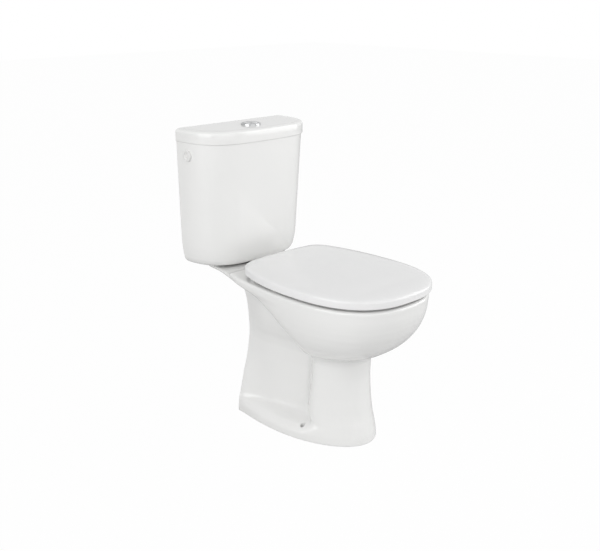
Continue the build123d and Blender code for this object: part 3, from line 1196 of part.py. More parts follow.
def make_hinge_washer():
    hole = HINGE_BOLT_RADIUS + THREAD_CLEARANCE
    bottom = HINGE_POCKET_ROOF - METAL_WASHER_THICKNESS
    return washer(METAL_WASHER_RADIUS, hole, HINGE_X, HINGE_Y, bottom, HINGE_POCKET_ROOF)


def buffer(x, y, bottom, top):
    """A rubber buffer pad."""
    pad = rod(BUFFER_RADIUS, x, y, bottom, top)
    return fillet(pad.edges().group_by(Axis.Z)[0], (top - bottom) / 4)


def make_seat_buffers():
    """Four pads under the ring, two at each side."""
    pads = []
    for forward, across in BUFFER_PLACE_SHARES:
        x, y = across * RIM_HALF_WIDTH, -forward * RIM_FRONT
        pads.append(buffer(x, y, RIM_HEIGHT, RING_BOTTOM))
    return both_sides(Compound(children=pads))


def make_cover_buffers():
    """Four thin pads between the cover and the ring."""
    pads = []
    for forward, across in BUFFER_PLACE_SHARES:
        x, y = across * RIM_HALF_WIDTH, -forward * RIM_FRONT
        pads.append(buffer(x, y, RING_TOP + COVER_BUFFER_GAP, COVER_BUFFER_TOP))
    return both_sides(Compound(children=pads))


def main():
    os.makedirs("parts", exist_ok=True)
    seat = COUPLING_SEAT_HEIGHT - METAL_WASHER_THICKNESS
    hinge_seat = HINGE_POCKET_ROOF - METAL_WASHER_THICKNESS
    nodes = make_pan_nodes() | {
        "cistern": make_cistern(),
        "cistern_lid": make_cistern_lid(),
        "cistern_gasket": make_cistern_gasket(),
        "coupling_bolts": both_sides(make_coupling_bolt()),
        "coupling_cone_washers": both_sides(make_coupling_cone_washer()),
        "coupling_washers": both_sides(make_coupling_washer()),
        "coupling_wing_nuts": both_sides(wing_nut(COUPLING_X, INLET_CENTRE, seat)),
        "valve_base": make_valve_base(),
        "valve_base_washer": make_valve_washer(),
        "valve_back_nut": make_valve_back_nut(),
        "valve_tower": make_valve_tower(),
        "rocker_pins": both_sides(make_rocker_pin()),
        "valve_stem": make_valve_stem(),
        "valve_seal": make_valve_seal(),
        "full_flush_rocker": make_rocker(-1),
        "half_flush_rocker": make_rocker(1),
        "button_bezel": make_button_bezel(),
        "bezel_nut": make_bezel_nut(),
        "full_flush_button": make_button(-1),
        "half_flush_button": make_button(1),
        "full_push_rod": make_push_rod(-1),
        "half_push_rod": make_push_rod(1),
        "full_button_spring": make_button_spring(-1),
        "half_button_spring": make_button_spring(1),
        "inlet_plug": make_inlet_plug(),
        "plug_washer": side_washer(-1),
        "plug_nut": side_nut(1, -INLET_SEAT_INNER + SIDE_WASHER_THICKNESS),
        "fill_valve_body": make_fill_valve_body(),
        "fill_valve_washer": side_washer(1),
        "fill_valve_nut": side_nut(1, INLET_SEAT_OUTER),
        "fill_tube": make_fill_tube(),
        "float_pin": make_float_pin(),
        "float_arm": make_float_arm(),
        "float_cup": make_float(),
        "fill_valve_plunger": make_plunger(),
        "seat_ring": make_seat_ring(),
        "seat_buffers": make_seat_buffers(),
        "seat_cover": make_cover(),
        "cover_buffers": make_cover_buffers(),
        "hinge_posts": both_sides(make_hinge_post()),
        "hinge_pins": both_sides(make_hinge_pin()),
        "hinge_bolts": both_sides(make_hinge_bolt()),
        "hinge_washers": both_sides(make_hinge_washer()),
        "hinge_wing_nuts": both_sides(wing_nut(HINGE_X, HINGE_Y, hinge_seat)),
    }
    for name, shape in nodes.items():
        export_step(shape, f"parts/{name}.step")
        print(name, len(shape.solids()), round(shape.volume / 1000, 2))


main()
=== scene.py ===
# %% [markdown]
# # A close-coupled toilet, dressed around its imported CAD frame
# The CAD solids hold the sizes, the mounts and the joints. Here the surfaces that show are drawn
# again, finer: the glazed pan, the cistern and its lid, the seat ring and its cover, the chromed
# flush button and the plug in the cistern's side. Every surface is a formula read on a grid, so
# that its curves stay smooth under a gloss finish, where any kink shows at once.

# %% Load the frame and keep its box
import json
import math

import bmesh
import bpy
import numpy as np
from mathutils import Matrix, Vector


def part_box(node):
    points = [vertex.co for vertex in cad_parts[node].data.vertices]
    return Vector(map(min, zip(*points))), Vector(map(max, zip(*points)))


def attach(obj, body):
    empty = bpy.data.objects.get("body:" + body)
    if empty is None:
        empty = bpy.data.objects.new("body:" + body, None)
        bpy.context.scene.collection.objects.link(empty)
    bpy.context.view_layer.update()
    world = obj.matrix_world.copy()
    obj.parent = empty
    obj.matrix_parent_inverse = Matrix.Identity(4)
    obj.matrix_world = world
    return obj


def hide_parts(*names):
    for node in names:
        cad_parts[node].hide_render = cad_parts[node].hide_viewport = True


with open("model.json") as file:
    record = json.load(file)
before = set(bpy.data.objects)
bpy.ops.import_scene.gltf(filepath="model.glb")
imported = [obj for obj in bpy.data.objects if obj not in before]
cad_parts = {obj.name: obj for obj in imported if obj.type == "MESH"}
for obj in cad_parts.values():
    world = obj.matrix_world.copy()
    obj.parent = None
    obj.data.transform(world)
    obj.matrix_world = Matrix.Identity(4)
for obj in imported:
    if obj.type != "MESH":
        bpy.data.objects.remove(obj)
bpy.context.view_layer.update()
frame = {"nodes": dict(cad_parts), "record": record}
MM = 0.001

# %% [markdown]
# ## The view
# The photograph looks down a little on the toilet's front left corner, from about 2.3 m away.
# A camera can be turned by angles or aimed at a point. Angles are used, because they were
# measured from the photograph's upright and level edges.

# %% Camera at the photograph's viewing angle
CAMERA_PLACE = (-1.60164, -1.72362, 1.13799)
CAMERA_LOOK_DOWN = 17.73
CAMERA_TURN = -43.85
FOCAL_LENGTH = 54.74
FILM_WIDTH = 36.0

scene = bpy.context.scene
camera_data = bpy.data.cameras.new("studio_camera")
camera_data.lens = FOCAL_LENGTH
camera_data.sensor_width = FILM_WIDTH
camera = bpy.data.objects.new("studio_camera", camera_data)
camera.location = CAMERA_PLACE
camera.rotation_euler = (math.radians(90 - CAMERA_LOOK_DOWN), 0, math.radians(CAMERA_TURN))
scene.collection.objects.link(camera)
scene.camera = camera
scene.view_settings.view_transform = "Standard"
print("camera at", CAMERA_PLACE)

# %% [markdown]
# ## Small formulas that the pieces share
# Glazed and moulded edges are never sharp, so the same quarter round comes back all over the
# toilet. It could be left to a Bevel modifier, but as a formula it also sets where the rows of a
# grid stand. The other helpers mix two shapes, ease from one to the other, and close an end.

# %% Mixes, rounds and poles
MIRROR = np.array((-1, 1, 1))
ROUND_POINTS = 6


def mix(first, second, share):
    """The first value plus a share of the way to the second."""
    return first + (second - first) * share


def ease(value, start, end):
    """0 before start and 1 after end, and between them three t squared less two t cubed."""
    t = np.clip((value - start) / (end - start), 0, 1)
    return t * t * (3 - 2 * t)


def bent(first, guide, last, share):
    """A quadratic curve from the first value to the last, drawn towards a guide."""
    return (1 - share) ** 2 * first + 2 * share * (1 - share) * guide + share ** 2 * last


def blunt(value, power):
    """The size of a value raised to a power, with the value's sign kept."""
    return np.sign(value) * np.abs(value) ** power


def full_turn(points):
    """Angles spread evenly round a circle, the last one step short of the first."""
    return np.linspace(0, 2 * math.pi, points, endpoint=False)


def rounding(radius, points):
    """A quarter round from an end to a side, by the angle t: how far each point is set in from the
    side, radius times (1 - sin t), and how far it stands off the end, radius times (1 - cos t)."""
    t = np.linspace(0, math.pi / 2, points)
    return radius * (1 - np.sin(t)), radius * (1 - np.cos(t))


def rounded_side(low, high, low_round, high_round, low_points, high_points):
    """Insets and places along a side from its low end to its high one, both edges rounded."""
    low_in, low_up = rounding(low_round, low_points)
    high_down, high_in = rounding(high_round, high_points)
    return np.concatenate([low_in, high_in]), np.concatenate([low + low_up, high - high_down])


def points_at(x, y, z):
    """One grid of points from three arrays, each spread to the shape of the largest."""
    return np.stack(np.broadcast_arrays(x, y, z), -1)


def shut(loop):
    """A row of equal points in the middle of a ring: a pole."""
    return loop[None] * 0 + loop.mean(0)


def closed(rings):
    """Rings with a pole at either end."""
    return np.concatenate([shut(rings[0]), rings, shut(rings[-1])])


# %% [markdown]
# ## From formulas to a mesh
# A piece is one or more grids of points. Each grid turns into four-sided faces by index sums on
# whole arrays, and all the grids of a piece are welded where they meet, so that seams and poles
# are closed. A row of equal points is a pole: its faces weld into triangles. Normals are worked
# out after the weld, and edges sharper than a set angle stay crisp.

# %% Grids of points to one welded mesh
WELD = 0.01 * MM
CRISP_ANGLE = math.radians(38)


def grid_faces(rows, columns, wrap, first, holes=()):
    """Corner numbers of a grid's faces: point i, j joins its next column and its next row. Blocks of
    cells (row from, row to, column from, column to) are left out as holes."""
    i = np.arange(rows - 1)[:, None]
    j = np.arange(columns if wrap else columns - 1)[None, :]
    after = (j + 1) % columns
    corners = [i * columns + j, i * columns + after, (i + 1) * columns + after, (i + 1) * columns + j]
    faces = first + np.stack(np.broadcast_arrays(*corners), -1)
    keep = np.ones(faces.shape[:2], bool)
    for r0, r1, c0, c1 in holes:
        keep[r0:r1, c0:c1] = False
    return faces[keep]


def put_mesh(name, grids, strips=()):
    """One object from grids (points, wrap) or (points, wrap, holes), and strips of loose triangles."""
    points, faces, count = [], [], 0
    for grid, wrap, *holes in grids:
        rows, columns = grid.shape[:2]
        points.append(grid.reshape(-1, 3))
        faces += grid_faces(rows, columns, wrap, count, *holes).tolist()
        count += rows * columns
    for strip_points, triangles in strips:
        points.append(strip_points)
        faces += (triangles + count).tolist()
        count += len(strip_points)
    mesh = bpy.data.meshes.new(name)
    mesh.from_pydata(np.concatenate(points).tolist(), [], faces)
    surface = bmesh.new()
    surface.from_mesh(mesh)
    bmesh.ops.remove_doubles(surface, verts=surface.verts, dist=WELD)
    bmesh.ops.recalc_face_normals(surface, faces=surface.faces)
    open_edges = sum(1 for e in surface.edges if len(e.link_faces) != 2)
    surface.to_mesh(mesh)
    surface.free()
    mesh.polygons.foreach_set("use_smooth", np.ones(len(mesh.polygons), bool))
    mesh.set_sharp_from_angle(angle=CRISP_ANGLE)
    piece = bpy.data.objects.new(name, mesh)
    scene.collection.objects.link(piece)
    print(name, len(mesh.vertices), "points,", len(mesh.polygons), "faces,", open_edges, "open edges")
    return piece


# %% [markdown]
# ## Finishes
# Sanitary ware is vitreous china under a thick white glaze: very smooth, a little uneven from the
# firing, and slightly warmer and darker where the glaze thins. The seat is moulded gloss plastic,
# more even than the china. Small fittings are satin plastic, rubber, zinc-plated steel and chrome.
# Each finish could be a plain colour, but without some unevenness glaze looks like plastic. So it
# is a small node tree on Object coordinates: soft noise moves the colour and the roughness by a
# few percent, and a faint bump breaks the reflections as on the real surface.

# %% One maker for all the finishes
CLOUD_DETAIL, RIPPLE_FINENESS = 3, 3
BUMP_STRENGTH, COAT_ROUGHNESS = 0.6, 0.04


def finish(name, colour, shade_share, rough, rough_share, grain, bump_height, metal=0.0, coat=0.0):
    """Noise of grain waves a metre mixes the colour with a darker shade of itself, and moves the
    roughness by rough_share; a second, finer noise lifts the surface by bump_height."""
    material = bpy.data.materials.new(name)
    material.use_nodes = True
    nodes, links = material.node_tree.nodes, material.node_tree.links
    shader = nodes["Principled BSDF"]
    place = nodes.new("ShaderNodeTexCoord")
    clouds = nodes.new("ShaderNodeTexNoise")
    clouds.inputs["Scale"].default_value = grain
    clouds.inputs["Detail"].default_value = CLOUD_DETAIL
    links.new(place.outputs["Object"], clouds.inputs["Vector"])
    tint = nodes.new("ShaderNodeMix")
    tint.data_type = "RGBA"
    tint.inputs["A"].default_value = (*colour, 1)
    tint.inputs["B"].default_value = (*[c * (1 - shade_share) for c in colour], 1)
    links.new(clouds.outputs["Fac"], tint.inputs["Factor"])
    links.new(tint.outputs["Result"], shader.inputs["Base Color"])
    gloss = nodes.new("ShaderNodeMapRange")
    gloss.inputs["To Min"].default_value = rough * (1 - rough_share)
    gloss.inputs["To Max"].default_value = rough * (1 + rough_share)
    links.new(clouds.outputs["Fac"], gloss.inputs["Value"])
    links.new(gloss.outputs["Result"], shader.inputs["Roughness"])
    ripple = nodes.new("ShaderNodeTexNoise")
    ripple.inputs["Scale"].default_value = grain * RIPPLE_FINENESS
    links.new(place.outputs["Object"], ripple.inputs["Vector"])
    bump = nodes.new("ShaderNodeBump")
    bump.inputs["Distance"].default_value = bump_height
    bump.inputs["Strength"].default_value = BUMP_STRENGTH
    links.new(ripple.outputs["Fac"], bump.inputs["Height"])
    links.new(bump.outputs["Normal"], shader.inputs["Normal"])
    shader.inputs["Metallic"].default_value = metal
    shader.inputs["Coat Weight"].default_value = coat
    shader.inputs["Coat Roughness"].default_value = COAT_ROUGHNESS
    return material


# slot: name, colour, darker share, roughness, its share, grain in waves a metre, bump, metal, coat
FINISHES = {slot: finish(*look) for slot, look in {
    "ceramic": ("white_glaze", (0.86, 0.86, 0.85), 0.035, 0.14, 0.35, 5, 0.25 * MM, 0.0, 0.4),
    "seat_plastic": ("gloss_white_plastic", (0.85, 0.85, 0.85), 0.02, 0.2, 0.2, 14, 0.05 * MM, 0.0, 0.15),
    "white_plastic": ("satin_white_plastic", (0.82, 0.82, 0.81), 0.04, 0.42, 0.15, 60, 0.05 * MM),
    "grey_plastic": ("satin_grey_plastic", (0.35, 0.36, 0.38), 0.08, 0.45, 0.15, 60, 0.05 * MM),
    "chrome": ("polished_chrome", (0.5, 0.505, 0.51), 0.03, 0.09, 0.3, 40, 0.01 * MM, 1.0),
    "steel": ("plated_steel", (0.6, 0.6, 0.6), 0.12, 0.3, 0.3, 120, 0.03 * MM, 1.0),
    "black_rubber": ("black_rubber", (0.03, 0.03, 0.03), 0.2, 0.7, 0.15, 90, 0.08 * MM),
    "grey_rubber": ("grey_rubber", (0.7, 0.7, 0.68), 0.06, 0.65, 0.15, 90, 0.08 * MM),
}.items()}
node_slots = {part["node"]: part["material_slot"] for part in frame["record"]["subparts"]}
for node, slot in node_slots.items():
    materials = frame["nodes"][node].data.materials
    materials.clear()
    materials.append(FINISHES[slot])
print("finishes:", ", ".join(FINISHES))


# %% Dressing a piece
def dress(piece, body, slot, *nodes):
    """The piece rides on a body, stands for CAD nodes, and takes its finish from a slot."""
    piece.data.materials.append(FINISHES[slot])
    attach(piece, body)
    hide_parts(*nodes)


# %% [markdown]
# ## The pan, level by level
# The pan is one casting. Its outside is read at each height from a short table of shares: how far
# the foot flares, how far the bowl swells out to the rim, how deep the hollow in each side is, and
# how far the deck reaches back under the cistern. It could be sculpted by hand, but a table keeps
# it close to the CAD pan. A bell-weighted mean along the height rounds the table's corners.

# %% Tables and driving sizes of the pan
RIM_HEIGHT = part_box("pan_rim")[1].z
DECK_DROP = 7 * MM
DECK_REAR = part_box("pan_rim")[1].y
DECK_HALF_WIDTH = 115 * MM
FOOT_REAR, FOOT_REAR_HALF_WIDTH = 70 * MM, 118 * MM
RIM_FRONT, RIM_WIDEST, RIM_HALF_WIDTH, RIM_POWER = 434 * MM, 198 * MM, 179 * MM, 2.5
COLUMN_FRONT, COLUMN_WIDEST, COLUMN_HALF_WIDTH, COLUMN_POWER = 288 * MM, 95 * MM, 106 * MM, 2.15
FOOT_FRONT, FOOT_WIDEST, FOOT_HALF_WIDTH, FOOT_POWER = 314 * MM, 70 * MM, 128 * MM, 2.0
WAIST_HALF_WIDTH, RECESS_HALF_WIDTH, RECESS_DEEPER = 72 * MM, 80 * MM, 24 * MM
RIDGE_REACH, RECESS_WALL_LENGTH, RECESS_BLEND_START = 193 * MM, 50 * MM, 40 * MM
RIDGE_SOFTNESS, SCOOP_POWER = 13 * MM, 2.2
# level in rim height, flare, swell, ridge, depth, waist, overhang
PAN_LEVEL_SHARES = np.array((
    (0.000, 1.00, 0.000, 0.94, 0.00, 0.00, 0.00), (0.030, 0.96, 0.000, 0.94, 0.00, 0.00, 0.00),
    (0.054, 0.91, 0.000, 1.00, 0.02, 0.02, 0.00), (0.092, 0.75, 0.000, 1.02, 0.26, 0.04, 0.00),
    (0.119, 0.64, 0.000, 1.02, 0.92, 0.07, 0.00), (0.152, 0.48, 0.000, 0.98, 0.97, 0.15, 0.00),
    (0.195, 0.33, 0.000, 0.945, 0.97, 0.26, 0.00), (0.292, 0.13, 0.000, 0.96, 1.00, 0.48, 0.00),
    (0.360, 0.04, 0.000, 0.975, 1.00, 0.68, 0.00), (0.426, 0.00, 0.000, 0.985, 1.00, 0.83, 0.00),
    (0.528, 0.00, 0.010, 1.00, 0.97, 0.98, 0.00), (0.562, 0.00, 0.045, 1.00, 0.90, 1.00, 0.00),
    (0.584, 0.00, 0.120, 1.00, 0.86, 1.00, 0.00), (0.600, 0.00, 0.235, 0.99, 0.83, 0.99, 0.00),
    (0.620, 0.00, 0.370, 0.985, 0.79, 0.98, 0.00), (0.669, 0.00, 0.575, 0.955, 0.73, 0.95, 0.00),
    (0.712, 0.00, 0.705, 0.90, 0.70, 0.91, 0.00), (0.754, 0.00, 0.800, 0.82, 0.69, 0.86, 0.00),
    (0.803, 0.00, 0.885, 0.69, 0.68, 0.76, 0.00), (0.852, 0.00, 0.940, 0.54, 0.64, 0.63, 0.00),
    (0.892, 0.00, 0.970, 0.36, 0.56, 0.54, 0.04), (0.922, 0.00, 0.985, 0.18, 0.48, 0.46, 0.14),
    (0.954, 0.00, 0.992, -0.08, 0.00, 0.12, 0.92), (0.978, 0.00, 1.000, -0.10, 0.00, 0.00, 1.00),
    (1.000, 0.00, 1.000, -0.10, 0.00, 0.00, 1.00)))
TABLE_SAMPLES = 1001
PAN_EASE_SHARE = 0.008
BELL_REACH = 4


def eased(table, spread):
    """The table drawn straight from level to level, then each value replaced by the mean around
    it under a bell curve whose width is spread, a share of the height, cut off at a few widths."""
    height = np.linspace(0, 1, TABLE_SAMPLES)
    reach = int(BELL_REACH * spread * TABLE_SAMPLES)
    bell = np.exp(-0.5 * (np.arange(-reach, reach + 1) / (spread * TABLE_SAMPLES)) ** 2)
    curves = [np.pad(np.interp(height, table[:, 0], column), reach, "edge") for column in table[:, 1:].T]
    return height, [np.convolve(curve, bell / bell.sum(), "valid") for curve in curves]


def levels(curves, share):
    """Every curve of a table, given as its heights and its columns, read at shares of the height."""
    height, columns = curves
    return [np.interp(share, height, column) for column in columns]


PAN_CURVES = eased(PAN_LEVEL_SHARES, PAN_EASE_SHARE)
print("pan:", RIM_HEIGHT, "m to the rim,", DECK_REAR, "m back to the deck's rear edge")

# %% [markdown]
# The outline at one height is an egg-shaped nose, then a ridge behind which the side scoops in
# towards the hidden trapway, then a wall that runs back to the rear corner. All three are one
# function of the place along the pan, so that the ridge can be softened by rounding the ramp that
# starts the scoop.

# %% Half width of the pan at any place and height
def pan_outline(height, inset):
    """The sizes of the outline at a height: half width, front, widest place, power, rear, corners,
    ridge and depth. The widths are mixed from foot, column and rim by the eased shares."""
    flare, swell, ridge, depth, waist, overhang = levels(PAN_CURVES, height / RIM_HEIGHT)
    half = mix(mix(COLUMN_HALF_WIDTH, FOOT_HALF_WIDTH, flare), RIM_HALF_WIDTH, swell) - inset
    front = inset - mix(mix(COLUMN_FRONT, FOOT_FRONT, flare), RIM_FRONT, swell)
    widest = -mix(mix(COLUMN_WIDEST, FOOT_WIDEST, flare), RIM_WIDEST, swell)
    power = mix(mix(COLUMN_POWER, FOOT_POWER, flare), RIM_POWER, swell)
    rear = mix(FOOT_REAR, DECK_REAR, overhang)
    full_corner = mix(FOOT_REAR_HALF_WIDTH, DECK_HALF_WIDTH, swell) - inset
    corner = mix(full_corner, WAIST_HALF_WIDTH - inset, waist)
    ridge_y = -ridge * RIDGE_REACH - inset
    return half, front, widest, power, rear, full_corner, corner, ridge_y, depth


def pan_side(y, height, inset):
    """Ahead of the widest place a superellipse, behind it a parabola to the corner: the envelope.
    Past the ridge the side mixes from the envelope to the recess wall as 1 - (1 - t)^power, t being
    the ramp from the ridge, softened as half of u plus the root of u squared plus softness squared.
    The recess wall lies deepest close behind the ridge, and comes out to the corner further back."""
    half, front, widest, power, rear, full_corner, corner, ridge_y, depth = pan_outline(height, inset)
    ahead = np.clip((widest - y) / (widest - front), 0, 1)
    behind = np.clip((y - widest) / (rear - widest), 0, None)
    nose = half * (1 - ahead ** power) ** (1 / power)
    envelope = np.where(y < widest, nose, half - (half - full_corner) * behind ** 2)
    u = (y - ridge_y) / RECESS_WALL_LENGTH
    soft = RIDGE_SOFTNESS / RECESS_WALL_LENGTH
    ramp = np.clip((u + np.sqrt(u * u + soft * soft)) / 2, 0, 1)
    scoop = 1 - (1 - ramp) ** SCOOP_POWER
    recess = RECESS_HALF_WIDTH - RECESS_DEEPER * ease(-y, 0, RIDGE_REACH - RECESS_WALL_LENGTH) - inset
    wall = mix(envelope, np.minimum(recess, envelope), depth)
    blend = np.clip((y + RECESS_BLEND_START) / (rear + RECESS_BLEND_START), 0, None) ** 2
    return mix(envelope, mix(wall, corner, blend), scoop)


# %% [markdown]
# Rows of the skin stand close together where the shape turns quickly: at the rounded foot, under
# the bowl and where the deck springs back. Columns do the same at the ridge. Even steps would need
# far more points to be as smooth. Each row holds the outside from one rear corner round the front
# to the other, so all rows have as many points.

# %% Rows and columns of the skin
CORNER_POINTS, SIDE_POINTS, SCOOP_POINTS, NOSE_POINTS = 4, 12, 24, 40
HALF_POINTS = CORNER_POINTS + SIDE_POINTS + SCOOP_POINTS + NOSE_POINTS
PAN_WALL, WALL_ROUND, FOOT_ROUND, TOP_ROUND = 11 * MM, 3.5 * MM, 3 * MM, 7 * MM


def half_path(height, inset, rear_inset, turned_in):
    """Right half of the outline from the rear to the front centre, as x and y. height, inset and
    rear_inset are columns of row values. turned_in is +1 where the corner turns in, for the
    outside, and -1 where it turns out, for the inside of the wall."""
    _, front, widest, _, rear, _, _, ridge_y, _ = pan_outline(height, inset)
    rear = rear - rear_inset
    wall_end = ridge_y + RECESS_WALL_LENGTH
    behind = (ridge_y - widest) / (widest - front)
    start = np.where(behind < 0, np.arcsin(np.clip(-behind, 0, 1)), -behind)
    turn = mix(start, math.pi / 2, np.linspace(0, 1, NOSE_POINTS + 1)[1:])
    nose_y = widest - (widest - front) * np.where(turn > 0, np.sin(turn), turn)
    scoop_y = mix(wall_end, ridge_y, np.linspace(0, 1, SCOOP_POINTS + 1)[1:])
    side_y = mix(rear - WALL_ROUND, wall_end, np.linspace(0, 1, SIDE_POINTS))
    y = np.concatenate([side_y, scoop_y, nose_y], 1)
    x = pan_side(y, height, inset)
    x[:, -1] = 0
    t = np.linspace(0, 1, CORNER_POINTS + 1)[:-1]
    bend_x = pan_side(rear - WALL_ROUND, height, inset) - turned_in * WALL_ROUND * (1 - t) ** 2
    bend_y = rear - WALL_ROUND * t ** 2
    return np.concatenate([bend_x, x], 1), np.concatenate([bend_y, y], 1)


def both_sides(x, y, z):
    """The half path and its mirror, from the right rear corner round the front to the left one."""
    half = points_at(x, y, z)
    return np.concatenate([half, half[:, -2::-1] * MIRROR], 1)


def steps(stops, spacings):
    """Heights from stop to stop, each stretch in equal steps close to its own spacing."""
    rows = [np.linspace(a, b, max(2, round((b - a) / gap) + 1))[:-1]
            for a, b, gap in zip(stops, stops[1:], spacings)]
    return np.concatenate([*rows, stops[-1:]])


HOLLOW_TOP, HOLLOW_EASE_BELOW, HOLLOW_EASE_ABOVE = 217 * MM, 4 * MM, 2 * MM
CHAMBER_HALF_WIDTH, CHAMBER_FRONT = 64 * MM, -60 * MM
CHAMBER_CLOSING, CHAMBER_TOP, TOP_START = 350 * MM, 358 * MM, 396 * MM
# the rows' spacing changes at these heights
ROW_STOPS = (FOOT_ROUND, 100 * MM, 212 * MM, 220 * MM, 280 * MM, CHAMBER_CLOSING, CHAMBER_TOP,
             TOP_START + 2 * MM, RIM_HEIGHT - TOP_ROUND)
ROW_SPACINGS = np.array((3, 5, 1, 3.5, 4.5, 1, 1.25, 2)) * MM
heights = steps(ROW_STOPS, ROW_SPACINGS)
foot_in, foot_up = [part[:-1] for part in rounding(FOOT_ROUND, ROUND_POINTS)]
top_down, top_in = [part[1:] for part in rounding(TOP_ROUND, ROUND_POINTS)]
row_height = np.concatenate([foot_up, heights, RIM_HEIGHT - top_down])[:, None]
foot_inset = np.concatenate([foot_in, 0 * heights, 0 * top_in])[:, None]
top_inset = np.concatenate([0 * foot_in, 0 * heights, top_in])[:, None]
print("skin:", len(row_height), "rows of", 2 * HALF_POINTS - 1, "points outside")

# %% [markdown]
# Behind, the casting is open: the side walls end at the rear corners, and between them lies the
# hollow foot and, above it, the chamber round the trapway. A Solidify modifier could give the wall
# its thickness, but not the chamber. So each row goes on from the left corner along the inside of
# the wall and back to the right one. A boss stands in the hollow round each floor screw. Over the
# chamber the inside closes onto the straight rear of the deck.

# %% The skin: outside, wall ends and hollow inside, as one closed row
FIXING_X, FIXING_Y, FIXING_RADIUS, BOSS_RADIUS = 98 * MM, -170 * MM, 7 * MM, 15 * MM
REAR_POINTS = 12
DROP_START, DROP_END = 58 * MM, 66 * MM


def dropped(points):
    """Over the deck the top is lower than the rim: heights above the top's start are squeezed by
    the drop, which eases in along the pan."""
    x, y, z = np.moveaxis(points, -1, 0)
    top = RIM_HEIGHT - DECK_DROP * ease(y, DROP_START, DROP_END)
    squeezed = TOP_START + (z - TOP_START) * (top - TOP_START) / (RIM_HEIGHT - TOP_START)
    return points_at(x, y, np.where(z > TOP_START, squeezed, z))


def hollow_half(height, inset):
    """Right half of the inside: the outline set in by the wall, pushed in round the boss, and from
    the hollow's top on the chamber: its side stands at one width, and what lay ahead of its front
    is spread across the front."""
    x, y = half_path(height, inset, 0, -1)
    reach = np.clip(BOSS_RADIUS ** 2 - (y - FIXING_Y) ** 2, 0, None)
    x = np.where(reach > 0, np.minimum(x, FIXING_X - np.sqrt(reach)), x)
    ahead = np.clip((CHAMBER_FRONT - y) / (CHAMBER_FRONT - y[:, -1:]), 0, 1)
    t = np.linspace(0, 1, CORNER_POINTS + 1)[:-1]
    turned_out = np.concatenate([WALL_ROUND * (1 - t) ** 2, np.zeros(x.shape[1] - CORNER_POINTS)])
    chamber_x = CHAMBER_HALF_WIDTH * (1 - ahead) + turned_out
    chamber_y = np.maximum(y, CHAMBER_FRONT)
    share = ease(height, HOLLOW_TOP - HOLLOW_EASE_BELOW, HOLLOW_TOP + HOLLOW_EASE_ABOVE)
    return mix(x, chamber_x, share), mix(y, chamber_y, share)


outside = both_sides(*half_path(row_height, foot_inset + top_inset, top_inset, 1), row_height)
inside = both_sides(*hollow_half(row_height, PAN_WALL - foot_inset), row_height)
wall_shares = np.linspace(0, 1, REAR_POINTS + 2)
left_end = mix(outside[:, -1:], inside[:, -1:], wall_shares[1:-1, None])
right_end = mix(inside[:, :1], outside[:, :1], wall_shares[1:-1, None])
behind = np.concatenate([left_end, inside[:, ::-1], right_end], 1)
rear_line = mix(outside[:, -1:], outside[:, :1], np.linspace(0, 1, behind.shape[1] + 2)[1:-1, None])
behind = mix(behind, rear_line, ease(row_height, CHAMBER_CLOSING, CHAMBER_TOP)[..., None])
outside, behind = dropped(outside), dropped(behind)
skin = np.concatenate([outside, behind], 1)
foot_face = mix(outside[:1], inside[:1], wall_shares[:, None, None])
print("skin grid:", skin.shape, "rear line of", behind.shape[1] + 2, "points")

# %% [markdown]
# ### The floor screw holes
# A hole could be cut with a boolean, but here its rim is known exactly: the circle of the drill
# seen from above, on a skin whose height at each place is known. So a block of cells is left out
# of the skin, rings of points run from the block's edge to the circle, the bore goes down, and the
# foot's face is opened the same way.

# %% Rings round each hole and the bore between them
HOLE_EDGE = 1.2 * MM
HOLE_SHARES = np.linspace(0, 1, 6)[1:-1, None]
SEARCH_HEIGHTS = np.linspace(15 * MM, 95 * MM, 400)
BLOCK_REACH, BLOCK_MARGIN, BLOCK_ROW, FOOT_BLOCK_SHIFT = 14 * MM, 2 * MM, 20, 3
RIM_SAMPLES, BORE_ROWS, FOOT_RINGS = 24, 8, 4


def block_edge(points, block):
    """Points round a block of cells, in order: along its first row, down its last column and back."""
    r0, r1, c0, c1 = block
    sides = points[r0, c0:c1], points[r0:r1, c1], points[r1, c1:c0:-1], points[r1:r0:-1, c0]
    return np.concatenate(sides)


def block_pair(block):
    """A block of cells on the right side, and the same cells on the left."""
    r0, r1, c0, c1 = block
    last = 2 * HALF_POINTS - 2
    return block, (r0, r1, last - c1, last - c0)


def skin_height(x, y):
    """Height at which the right side of the skin stands over each place: where the half width,
    which shrinks upwards, first falls under x, taken between two samples."""
    widths = pan_side(y[:, None], SEARCH_HEIGHTS[None, :], 0)
    after = np.argmax(widths < x[:, None], 1)
    row = np.arange(len(x))
    over, under = widths[row, after - 1], widths[row, after]
    return mix(SEARCH_HEIGHTS[after - 1], SEARCH_HEIGHTS[after], (over - x) / (over - under))


def circle_at(turn, radius):
    """The drill's circle seen from above, turned so that it climbs the skin as the turn grows."""
    return FIXING_X - radius * np.sin(turn), FIXING_Y + radius * np.cos(turn)


def hole_rings(edge, turn):
    """Rings on the skin from the block's edge to the drill's rim: places and heights are mixed from
    one to the other, and each ring is laid on the skin by its half width there."""
    x, y = circle_at(turn, FIXING_RADIUS + HOLE_EDGE)
    z = skin_height(x, y)
    ring_y, ring_z = mix(edge[:, 1], y, HOLE_SHARES), mix(edge[:, 2], z, HOLE_SHARES)
    rings = points_at(pan_side(ring_y, ring_z, 0), ring_y, ring_z)
    return np.concatenate([edge[None], rings, points_at(x, y, z)[None]])


